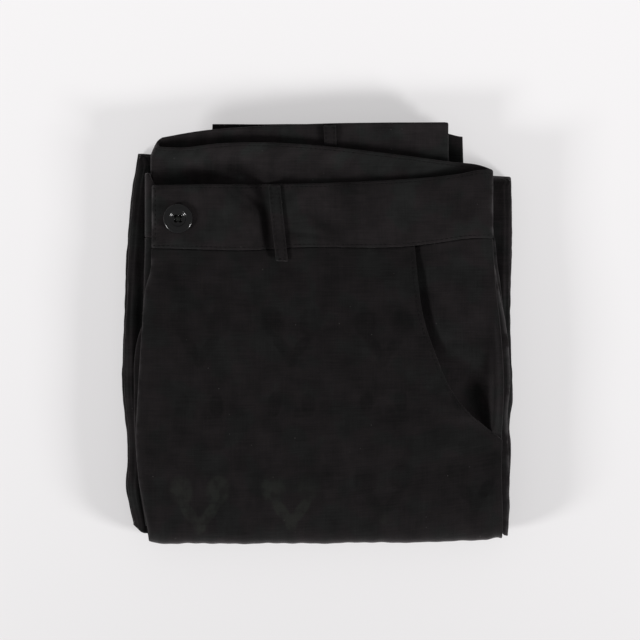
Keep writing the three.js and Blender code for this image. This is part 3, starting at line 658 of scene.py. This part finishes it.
def back_panel(layer, side, side_inset, band_top, seed):
    """A panel from near the centre fold to the side, with an uneven side edge and a low welt along it."""
    u, v = np.meshgrid(ended(40), panel_rows(flat=90, bend=26))
    straight = panel_y(through(band_top, 0.0) - BAND_HEIGHT - BACK_BELOW_BAND, v)
    left = through(CENTRE_FOLD, straight) + BACK_INSIDE
    right = through(side, straight) - side_inset
    x = mix(left, right, u)
    y = slanted(band_top, x, straight, v)
    edge_wave = 0.3 * wander(y, 0.0, size=22.0, seed=seed) * ease(u, 0.9, 1)
    welt = SIDE_WELT_HEIGHT * bell(right - x, *SIDE_WELT) * ease(-y, -70, -40)
    z = level(layer, y) - 0.8 * EDGE_FALL * edge_share(x, y) + welt
    return on_stack(x + edge_wave, y, pressed(x, y, z))


back_right_face = back_panel("back_right", SIDE_RIGHT, side_inset=0.0, band_top=BACK_RIGHT_BAND_TOP, seed=41)
back_right = dressed("back_right", shell(back_right_face, CLOTH), BACK_CLOTH)
back_left_face = back_panel("back_left", SIDE_LEFT, side_inset=1.0, band_top=BACK_LEFT_BAND_TOP, seed=42)
back_left = dressed("back_left", shell(back_left_face, CLOTH), BACK_CLOTH)

# Left front: the big panel on top, from the waistband seam down round the lower fold to the table.
# It is cut away along the curved pocket edge, and laps over the right front at the fly.
SWELLS = [  # x, y, reach across, reach along, height of each soft rise or hollow
    (-68, 91, 17, 12, 2.9),
    (-40, 95, 9.5, 13, -5.0),
    (-25, 68, 14, 26, -2.2),
    (-2, 74, 12, 10, -0.8),
    (57, 71, 15, 9, -0.7),
    (34, 78, 40, 20, 0.5),
    (-70, 8, 30, 34, 0.5),
    (28, -22, 46, 30, 0.6),
    (-30, -80, 60, 24, 0.4),
    (100, -20, 7, 34, 0.5),
]
CREASES = [  # from x, y to x, y, width, height of each soft ridge or trough
    (-57, 81, -59, 64, 2.2, 0.7),
    (-34.0, 94, -28.5, 48, 4.2, -2.7),
    (-19.0, 92, -13.5, 44, 2.4, 0.8),
    (-57, 93, -33, 75, 4.0, -2.4),
    (-13, 80, 14, 60, 4.0, -1.1),
    (-18, 62, 6, 59, 2.2, -0.7),
    (-62, 58, -44, 62, 3.0, -0.4),
    (62, 80, 42, 60, 5.0, -0.5),
    (84, 86, 99, 66, 4.0, 0.4),
    (-97, 44, -44, 37, 3.0, -0.4),
    (-28, 44, 4, 33, 3.5, -0.35),
    (-90, 24, -58, -8, 6.0, 0.4),
    (18, 24, 52, -12, 6.0, 0.35),
    (-62, -36, -8, -54, 6.0, -0.45),
    (8, -62, 72, -48, 5.0, 0.35),
    (-102, -68, -58, -92, 4.5, -0.4),
    (38, -98, 98, -78, 5.0, -0.4),
    (74, -68, 104, -86, 4.0, 0.4),
]
POCKET_EDGE = [
    (53, 59.0), (32, 60.9), (10, 64.2), (-14, 72.0), (-35, 81.3), (-50, 93.0), (-60, 105.4), (-65.6, 112.9),
]
WAIST_SEAM = [
    (-106, 51.6), (-80, 51.0), (-45, 50.2), (-12, 52.0), (58, 52.9), (76, 55.2), (90, 57.2), (107.7, 57.8),
]
FLY_LAP, FLY_END = (0.2, 4.3), (20, 44)  # how far inside the centre fold the fly's edge lies, and from where
FLY_ROLL, LOWER_ROLL, SIDE_ROLL = 1.7, 1.6, 0.9
GAPE, GAPE_REACH = (2.5, 1.4), 11  # how far the pocket's mouth stands up, at its foot and at its top


def creased(x, y):
    """Sum of the creases: each a bell across times its height, fading out at both ends."""
    total = 0.0
    for x0, y0, x1, y1, width, lift in CREASES:
        long_x, long_y = x1 - x0, y1 - y0
        square = long_x**2 + long_y**2
        share = ((x - x0) * long_x + (y - y0) * long_y) / square
        across = ((x - x0) * long_y - (y - y0) * long_x) / np.sqrt(square)
        total = total + lift * bell(across, 0, width) * ease(share, -0.15, 0.3) * ease(-share, -1.15, -0.7)
    return total


def fly_overlap(y):
    """How far the left front's edge lies inside the centre fold."""
    return mix(*FLY_LAP, ease(y, *FLY_END))


def front_height(x, y):
    """Upper side of the left front: its level, swells and creases, less the fall and rolls at its edges."""
    inside_left, inside_right = x - through(CENTRE_FOLD, y), through(SIDE_LEFT, y) - x
    roll = FLY_ROLL * fade(inside_left - 4, 4.5) * ease(y, *FLY_END)
    roll = roll + LOWER_ROLL * fade(inside_left, 7.5) * (1 - ease(y, -60, 0))
    roll = roll + SIDE_ROLL * fade(inside_right, 1.8) * ease(y, 30, 60)
    forms = humps(SWELLS, x, y) + creased(x, y) - EDGE_FALL * edge_share(x, y)
    return level("front_left", y) + forms - roll


def gape(x, y):
    """How far the front stands up along the pocket's mouth: a bell across, between the mouth's ends."""
    inside = np.maximum(0, through(POCKET_EDGE, y) - x)
    high = mix(*GAPE, ease(y, -40, 10)) * ease(y, -62, -50) * ease(-y, -50, -30)
    return high * bell(inside, 0, GAPE_REACH)


def front_left():
    """The left front over its whole length, with the seam's pucker and faint uneven waves."""
    u, v = np.meshgrid(ended(150, 0.5), panel_rows(flat=150, bend=34))
    straight = panel_y(through(WAIST_SEAM, 0.0) - GAP, v)
    left = through(CENTRE_FOLD, straight) + fly_overlap(straight)
    left = left + 0.2 * wander(straight, 5.0, size=19.0, seed=51)
    side = through(SIDE_LEFT, straight)
    pocket = np.minimum(through(POCKET_EDGE, straight), side)
    right = np.where(straight > min(POCKET_EDGE)[0], pocket, side)
    x = mix(left, right, u)
    y = slanted(WAIST_SEAM, x, straight, v)
    pucker = 0.2 * wander(x, y * 0.3, size=9.0, seed=52) * fade(through(WAIST_SEAM, x) - y, 7)
    waves = 0.2 * wander(x, y, size=46.0, seed=53) + 0.1 * wander(x, y, size=17.0, seed=54)
    return on_stack(x, y, front_height(x, y) + gape(x, y) + pucker + waves * ease(v, 0, 0.1))


left_front_face = front_left()
# The cloth thins towards the pocket's mouth, where it is turned in and pressed.
from_mouth = np.abs(through(POCKET_EDGE, left_front_face[..., 1]) - left_front_face[..., 0])
mouth_edge = fade(from_mouth, 2) * ease(left_front_face[..., 1], -66, -60)
left_front_body = shell(left_front_face, CLOTH * (1 - 0.55 * mouth_edge))
# Only its left edge is pale: partly wear, partly painted sheen.
left_front_body[2][:, 2] *= left_front_body[0][:, 0] < 0
left_front = dressed("front_left", left_front_body, FRONT_CLOTH)

# Pocket: the hip piece that shows inside the curved pocket edge, of the same cloth as the front.
# It lies under the front along the curve, comes up level by the side seam, and puckers in low ridges.
POCKET_CLOTH = cloth_material("pocket_cloth", (0.0074, 0.0064, 0.0067))
POCKET_MIDDLE, POCKET_FOOT, POCKET_UNDER = 90.0, -67.0, 9.0
RIDGE, RIDGE_HEIGHT = (5, 2.2), 1.6
DIP, DIP_DEPTH = (12, 4.0), 0.9


def pocket_facing():
    """The hip piece's upper side: mixed from resting below the front to level with it.

    The share of the second is 0 in the mouth, 1 by the seam. A ridge and a dip run beside the seam.
    """
    u, v = np.meshgrid(ended(80, 0.3), ended(110, 0.3))
    straight = mix(through(WAIST_SEAM, POCKET_MIDDLE) - GAP, POCKET_FOOT, v)
    side = through(SIDE_LEFT, straight)
    mouth_x = np.minimum(through(POCKET_EDGE, straight), side - 3)
    side = side - 0.4
    x = mix(mouth_x - POCKET_UNDER, side, u)
    y = slanted(WAIST_SEAM, x, straight, v, POCKET_MIDDLE)
    wide = ease(x - mouth_x, -3, 9)
    narrow = ease(x - side, -10, -5.5) * ease(y, -66, -60)
    up = mix(narrow, wide, ease(y, -38, 8))
    deep = pressed(x, y, level("back_left", y)) + GAP + CLOTH
    resting = mix(deep, np.maximum(front_height(x, y) - 0.1, deep), up)
    ridge = RIDGE_HEIGHT * bell(side - x, *RIDGE) * ease(y, -63, -56) * (1 - ease(y, -5, 20))
    dip = DIP_DEPTH * bell(side - x, *DIP) * ease(y, -40, -20) * (1 - ease(y, 5, 35))
    waves = 0.12 * wander(x, y, size=24.0, seed=61)
    return np.stack([x, y, resting + (ridge - dip + waves) * up], axis=-1)


facing_body = shell(pocket_facing(), CLOTH)
facing = dressed("pocket_facing_left", facing_body, POCKET_CLOTH, "pocket_facing_cloth")

# Waistbands: strips of the same cloth, doubled over a soft interfacing and stitched along both edges.
# The right front's is the button underlap; the back's is one strip folded at the centre back, with
# its inner side up on the left half, painted paler for the light on it; the left front's buttons over on top.
BAND = 2.0
BAND_Y = 80.0
UNDERLAP_BAND_WIDTH, UNDERLAP_CUT = 22, 8.6
FRONT_BAND_TOP = [(-106, 90.0), (-60, 90.4), (7, 91.4), (45, 93.2), (85, 96.7), (100, 99.3), (107.7, 99.5)]
BACK_BAND_LEFT, BACK_BAND_RIGHT, BACK_BAND_END = (-98.2, -102.6), 106.9, 80.0
LIP, LIP_DEPTH, OPEN_LIP, OPEN_LIP_DEPTH = 2.1, 15, 1.6, 12
FULLNESS, FULLNESS_REACH = 1.8, 7
BAND_CLOTH = cloth_material("band_cloth", (0.0096, 0.0084, 0.0087), Slub=0.7, Wear=0.8)
# The back band's inner side: the same cloth, painted paler for the light that falls on it.
BAND_INNER_LIT_CLOTH = cloth_material("band_inner_cloth", (0.0120, 0.0107, 0.0110), Slub=0.7)


def band_front_right(share):
    """The underlap beside the fly, round the centre fold, and back below the back's waistband."""
    t, v = np.meshgrid(turn_stops(share, on_top=18, turning=24, below=60), ended(34, 0.4))
    left = through(CENTRE_FOLD, BAND_Y)
    (_, right_level), (_, underlap_level) = LEVELS["front_right"], LEVELS["underlap"]
    start_x = left + UNDERLAP_BAND_WIDTH
    x, z = round_left(t, share, start_x, left, 76.0, underlap_level + 0.1, right_level - BAND)
    below = ease(t, share[0], sum(share))
    cut = UNDERLAP_CUT * ease(x, left + 1.5, left + 8) * (1 - below) * (1 - v)
    y = UNDERLAP_TOP + underlap_skew(x) * below - cut - BAND_HEIGHT * v
    rise = level("front_right", y) - right_level
    return np.stack([x, y, mix(z, pressed(x, y, z + rise), below)], axis=-1)


right_band_body = shell(band_front_right((0.14, 0.14)), BAND)
right_band = dressed("waistband_front_right", right_band_body, BAND_CLOTH)


def band_back(share):
    """One strip: the left half's inner side, the turn at the centre back, and the right half below.

    The left half's top edge rises in a lip, which opens more over the fly and stays full to the right.
    """
    t, v = np.meshgrid(turn_stops(share, on_top=110, turning=22, below=90), ended(36, 0.4))
    depth = BAND_HEIGHT * v
    left_x = mix(*BACK_BAND_LEFT, ease(depth, -3, 9))
    lip = LIP * (1 - ease(depth, 0, LIP_DEPTH))
    open_lip = OPEN_LIP * (1 - ease(depth, 0, OPEN_LIP_DEPTH))
    upper, lower = LEVELS["back_left"][1] + lip, LEVELS["back_right"][1] - BAND
    x, z = round_left(t, share, BACK_BAND_RIGHT, left_x, BACK_BAND_END, upper, lower)
    below = ease(t, share[0], sum(share))
    y = mix(through(BACK_LEFT_BAND_TOP, x), through(BACK_RIGHT_BAND_TOP, x), below) - depth
    waves = 0.14 * wander(x, depth, size=34.0, seed=71) + 0.05 * wander(x, depth, size=9.0, seed=72)
    full = FULLNESS * bell(y, through(FRONT_BAND_TOP, x), FULLNESS_REACH)
    full = full * ease(x, -40, -10) * (1 - ease(x, 60, 85))
    z = z + (full - lip * ease(x, 50, 100)) * (1 - below) + waves * ease(x, -96, -84)
    inside = ease(x, left_x, left_x + 12)
    z = mix(z, pressed(x, y, z), inside) + open_lip * (1 - below) * inside * bell(x, -62, 30)
    return np.stack([x, y, z], axis=-1)


back_band_face = band_back((0.5, 0.07))
back_band = dressed("waistband_back", shell(back_band_face, BAND), BAND_INNER_LIT_CLOTH)


def band_height(x, y):
    """Upper side of the left front's waistband, a little over the front's."""
    return front_height(x, y) + 0.2


def band_front_left():
    """The strip from the fly edge to the side, with falling edges and a pucker along its lower seam."""
    u, v = np.meshgrid(ended(190, 0.3), ended(44, 0.5))
    x = mix(through(CENTRE_FOLD, BAND_Y) + fly_overlap(BAND_Y), through(SIDE_LEFT, BAND_Y), u)
    top_y, foot_y = through(FRONT_BAND_TOP, x), through(WAIST_SEAM, x)
    y = mix(top_y, foot_y, v)
    pucker = 0.09 * wander(x, y * 0.2, size=7.0, seed=81) * fade(y - foot_y, 6)
    edge = 0.3 * fade(top_y - y, 2) + 0.5 * fade(y - foot_y, 3)
    waves = 0.12 * wander(x, y, size=38.0, seed=82) + 0.05 * wander(x, y, size=12.0, seed=83)
    return np.stack([x, y, band_height(x, y) - edge + pucker + waves], axis=-1)


left_band_face = band_front_left()
# The band thins towards its seam, so that its lower edge meets the front.
seam_share = fade(left_band_face[..., 1] - left_band_face[-1:, :, 1], 3)
left_band_body = shell(left_band_face, BAND * (1 - 0.65 * seam_share))
left_band = dressed("waistband_front_left", left_band_body, BAND_CLOTH)

# Belt loops: narrow strips folded in three and stitched along both edges, sewn down at their ends.
# The front one leans a little and stands off the waistband; the back one shows at the top edge.
LOOP_DEEP = 1.1
LOOP_CLOTH = cloth_material("loop_cloth", (0.0098, 0.0086, 0.0089), Slub=0.7)


def belt_loop(top, foot, width, bow, tilt):
    """A strip from top to foot with raised edges: x, y, and how far it bows off what is under it."""
    u, v = np.meshgrid(ended(14, 0.4), ended(70, 0.3))
    x = mix(top[0], foot[0], v) + (u - 0.5) * width
    y = mix(top[1], foot[1], v)
    edges = 0.12 * np.cos((u - 0.5) * 3 * np.pi) ** 2 * ease(np.abs(u - 0.5), 0.1, 0.4)
    bowed = bow * (1 - tilt * u) * np.sin(np.pi * v) ** 0.5
    return x, y, GAP + LOOP_DEEP + 0.1 + bowed + edges


x, y, lift = belt_loop((-26.8, 90.0), (-21.9, 43.4), width=7.4, bow=2.4, tilt=0.9)
# The front loop spans the creases of the waistband under it.
front_loop_face = np.stack([x, y, band_height(x, y) - creased(x, y) + lift], axis=-1)
front_loop_body = shell(front_loop_face, LOOP_DEEP)
front_loop = dressed(
    "belt_loop_front_left", front_loop_body, LOOP_CLOTH, "belt_loop_front_cloth"
)
x, y, lift = belt_loop((7.2, 126.6), (7.7, 114.3), width=7.6, bow=0.7, tilt=0.3)
back_loop_face = np.stack([x, y, LEVELS["back_right"][1] + lift], axis=-1)
back_loop_body = shell(back_loop_face, LOOP_DEEP)
back_loop = dressed("belt_loop_back_right", back_loop_body, LOOP_CLOTH, "belt_loop_back_cloth")

# Stitches: black sewing thread in short lockstitches, along the edges of the waistbands, the pocket's
# mouth and the belt loops. Each stitch is a small strand that dips into the cloth at both ends.
STITCH_PITCH, STITCH_LENGTH, STITCH_START = 2.9, 2.3, 0.6
THREAD_RADIUS = 0.17
DULL = {"Roughness": 0.8, "Specular IOR Level": 0.15}
SEWING_THREAD = new_material("sewing_thread", {"Base Color": (0.0060, 0.0052, 0.0055, 1), **DULL})[0]


def strands(name, middle, radius, material):
    """One mesh of closed strands: rings of six round each line of points, thinner at its two ends."""
    ahead = unit(np.gradient(middle, axis=1))
    side = unit(np.cross(ahead, (0, 0, 1.0)))
    up = np.cross(side, ahead)
    share = np.linspace(0, 1, middle.shape[1])
    thick = radius * np.minimum(1, 0.4 + 2.5 * np.minimum(share, 1 - share))[:, None, None]
    turn = np.linspace(0, 2 * np.pi, 7)[:-1][:, None]
    rings = middle[:, :, None] + thick * (side[:, :, None] * np.cos(turn) + up[:, :, None] * np.sin(turn))
    cell = np.arange(rings[..., 0].size).reshape(rings.shape[:3])
    after = np.roll(cell, -1, axis=2)
    walls = np.stack([cell[:, :-1], cell[:, 1:], after[:, 1:], after[:, :-1]], axis=3).reshape(-1, 4)
    first, last = cell[:, 0], cell[:, -1]
    ends = [first[:, [0, 1, 2, 3]], first[:, [0, 3, 4, 5]], last[:, [3, 2, 1, 0]], last[:, [5, 4, 3, 0]]]
    points = rings.reshape(-1, 3)
    return mesh_piece(name, (points, np.concatenate([walls, *ends]), points[:, :2] * MM), material)


def stitches(name, lines):
    """Short strands one after another along each line of points, each an arc that dips at both ends."""
    middle = []
    for line in lines:
        length = np.concatenate([[0], np.linalg.norm(np.diff(line, axis=0), axis=1).cumsum()])
        starts = np.arange(STITCH_START, length[-1] - STITCH_LENGTH, STITCH_PITCH)
        at = starts[:, None] + np.linspace(0, STITCH_LENGTH, 6)
        middle.append(np.stack([np.interp(at, length, line[:, k]) for k in range(3)], axis=2))
    middle = np.concatenate(middle)
    middle[:, :, 2] += THREAD_RADIUS * (1.5 * np.sin(np.pi * np.linspace(0, 1, 6)) - 0.7)
    return strands(name, middle, THREAD_RADIUS, SEWING_THREAD)


def row_inside(face, from_row, depth):
    """The line on a face that runs depth inside its first (0) or last (-1) row."""
    length = np.linalg.norm(np.diff(face, axis=0), axis=2).cumsum(axis=0)
    if from_row:
        length = length[-1:] - length
    row = np.abs(length - depth).argmin(axis=0) + 1
    return face[row, np.arange(face.shape[1])]


def column_inside(face, from_column, depth):
    """The line on a face that runs depth inside its first (0) or last (-1) column."""
    return row_inside(face.transpose(1, 0, 2), from_column, depth)


stitches("waistband_front_stitches", [
    row_inside(left_band_face, 0, depth=2.2),
    row_inside(left_band_face, -1, depth=1.5),
    column_inside(left_band_face, 0, depth=2.4)[4:-4],
])
stitches("waistband_back_stitches", [row_inside(back_band_face, 0, depth=2.4)[4:-4]])
stitches("pocket_stitches", [column_inside(left_front_face, -1, depth=2.2)[3:118]])
stitches("belt_loop_stitches", [
    *(column_inside(loop, side, 1.4)[2:-2] for loop in (front_loop_face, back_loop_face) for side in (0, -1)),
    *(row_inside(front_loop_face, -1, inset)[2:-2] for inset in (1.2, 1.8)),
])

# Button: polished black resin, turned with a broad rim and a dished middle with four holes.
# It is sewn on with a cross of black thread.
BUTTON_PROFILE = [  # radius as a share of the button's, and height in millimetres
    (0.0, 0.0), (0.70, 0.0), (0.86, 0.25), (0.96, 0.8), (1.0, 1.45), (0.985, 1.9), (0.94, 2.25),
    (0.88, 2.42), (0.82, 2.36), (0.78, 2.38), (0.73, 2.54), (0.66, 2.6), (0.60, 2.52), (0.55, 2.25),
    (0.50, 1.8), (0.45, 1.45), (0.38, 1.28), (0.22, 1.2), (0.0, 1.18),
]
BUTTON_SIDES = 96
DISH_HEIGHT = 1.2
HOLE_RADIUS, HOLE_OUT = 1.1, 1.85
BAR_RADIUS, BAR_ASIDE, BAR_DIP = 0.18, (-0.45, -0.15, 0.15, 0.45), 1.1
BARS = {np.pi / 4: 0.35, 3 * np.pi / 4: 0.6}  # the way each bar of the cross runs, and its height
BUTTON_THREAD = new_material("button_thread", {"Base Color": (0.0150, 0.0165, 0.0145, 1), **DULL})[0]
button_low, button_high = (np.array(corner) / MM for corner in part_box("button"))
button_radius = (button_high[0] - button_low[0]) / 2
button_seat = np.array([*(button_low + button_high)[:2] / 2, button_low[2]])


def button_material():
    """Polished black resin with fine turning marks."""
    material, tree, shader = new_material("button_resin", {"Base Color": (0.004, 0.004, 0.0042, 1)})
    place = node(tree, "TexCoord").outputs["Object"]
    marks = node(tree, "TexNoise", {"Vector": place, "Scale": 1400.0, "Detail": 4.0}).outputs["Fac"]
    rough = node(tree, "MapRange", {"Value": marks, "To Min": 0.08, "To Max": 0.26}).outputs["Result"]
    bump = node(tree, "Bump", {"Strength": 0.08, "Distance": 0.0002, "Height": marks}).outputs[0]
    fill(tree, shader, {"Roughness": rough, "Normal": bump})
    return material


def turned(profile, sides, middle):
    """A profile turned round the Z axis through middle, each of its steps cut in three: closed rings."""
    given = np.array(profile)
    stops = np.linspace(0, len(given) - 1, 3 * len(given))
    out, z = (np.interp(stops, np.arange(len(given)), given[:, k])[:, None] for k in (0, 1))
    angle = np.arange(sides) * 2 * np.pi / sides
    x, y = out * button_radius * np.cos(angle), out * button_radius * np.sin(angle)
    points = np.stack(np.broadcast_arrays(x, y, z), axis=2).reshape(-1, 3) + middle
    cell = np.arange(len(points)).reshape(-1, sides)
    after = np.roll(cell, -1, axis=1)
    quads = np.stack([cell[:-1], after[:-1], after[1:], cell[1:]], axis=2).reshape(-1, 4)
    return points, quads, points[:, :2] * MM


def weld(piece):
    """Join the piece's doubled points and turn its faces out."""
    bpy.context.view_layer.objects.active = piece
    piece.select_set(True)
    bpy.ops.object.mode_set(mode="EDIT")
    bpy.ops.mesh.select_all(action="SELECT")
    bpy.ops.mesh.remove_doubles(threshold=1e-6)
    bpy.ops.mesh.normals_make_consistent(inside=False)
    bpy.ops.object.mode_set(mode="OBJECT")
    piece.select_set(False)


button_body = turned(BUTTON_PROFILE, BUTTON_SIDES, button_seat)
button = dressed("button", button_body, button_material(), "button_turned")
weld(button)
for quarter in range(4):
    angle = np.pi / 2 * quarter + np.pi / 4
    at = (button_seat + HOLE_OUT * np.array([np.cos(angle), np.sin(angle), 0])) * MM
    bpy.ops.mesh.primitive_cylinder_add(vertices=32, radius=HOLE_RADIUS * MM, depth=0.01, location=tuple(at))
    drill = bpy.context.active_object
    cut = button.modifiers.new(f"hole_{quarter}", "BOOLEAN")
    cut.operation = "DIFFERENCE"
    cut.object = drill
    bpy.context.view_layer.objects.active = button
    bpy.ops.object.modifier_apply(modifier=cut.name)
    bpy.data.objects.remove(drill)

bar_lines = []
for lean, height in BARS.items():
    for aside in BAR_ASIDE:
        along = np.linspace(-HOLE_OUT, HOLE_OUT, 14)
        x = along * np.cos(lean) - aside * np.sin(lean)
        y = along * np.sin(lean) + aside * np.cos(lean)
        z = DISH_HEIGHT + height - BAR_DIP * (along / HOLE_OUT) ** 6 - 0.6 * abs(aside)
        bar_lines.append(button_seat + np.stack([x, y, z], axis=1))
strands("button_thread", np.array(bar_lines), BAR_RADIUS, BUTTON_THREAD)

# Floor, lights and camera: a pale table that glows a little, more towards the top of the picture: painted
# light that lifts the shadows on it. A soft lamp low on each side, and a soft sky. The camera looks straight
# down from 1.6 m.
CAMERA_PLACE = (0.00125, 0.0076, 1.6)
PICTURE_HALF, FOCAL_PIXELS = 320, 2577
bpy.ops.mesh.primitive_plane_add(size=8.0)
floor = bpy.context.active_object
floor.name = "floor"
paper, paper_tree, paper_shader = new_material("table_white", {
    "Base Color": (0.56, 0.552, 0.556, 1),
    "Roughness": 0.9,
    "Emission Color": (1.0, 0.985, 0.99, 1),
})
# Painted light: the table's glow, rising towards the top of the picture.
floor_place = node(paper_tree, "TexCoord").outputs["Object"]
floor_y = node(paper_tree, "SeparateXYZ", {0: floor_place}).outputs["Y"]
glow_range = {"From Min": -0.3, "From Max": 0.3, "To Min": 0.23, "To Max": 0.54}
painted_glow = node(paper_tree, "MapRange", {"Value": floor_y, **glow_range}).outputs["Result"]
fill(paper_tree, paper_shader, {"Emission Strength": painted_glow})
floor.data.materials.append(paper)

scene = bpy.context.scene
scene.view_settings.view_transform = "Standard"
sky = bpy.data.worlds.new("soft_sky")
sky.use_nodes = True
fill(sky.node_tree, sky.node_tree.nodes["Background"], {"Color": (1.0, 0.99, 1.0, 1), "Strength": 0.27})
scene.world = sky


def soft_lamp(name, place, size, power):
    """A square lamp of a size in metres that faces the middle of the table."""
    light = bpy.data.lights.new(name, "AREA")
    light.size = size
    light.energy = power
    lamp = bpy.data.objects.new(name, light)
    lamp.location = place
    x, y, z = place
    lamp.rotation_euler = (np.arctan2(np.hypot(x, y), z), 0, np.arctan2(-y, -x) - np.pi / 2)
    scene.collection.objects.link(lamp)


soft_lamp("lamp_left", (-1.24, -0.64, 0.66), size=0.34, power=15.5)
soft_lamp("lamp_right", (1.22, -0.68, 0.66), size=0.34, power=17.5)

camera_data = bpy.data.cameras.new("camera")
camera_data.angle = 2 * np.arctan(PICTURE_HALF / FOCAL_PIXELS)
camera = bpy.data.objects.new("camera", camera_data)
camera.location = CAMERA_PLACE
scene.collection.objects.link(camera)
scene.camera = camera
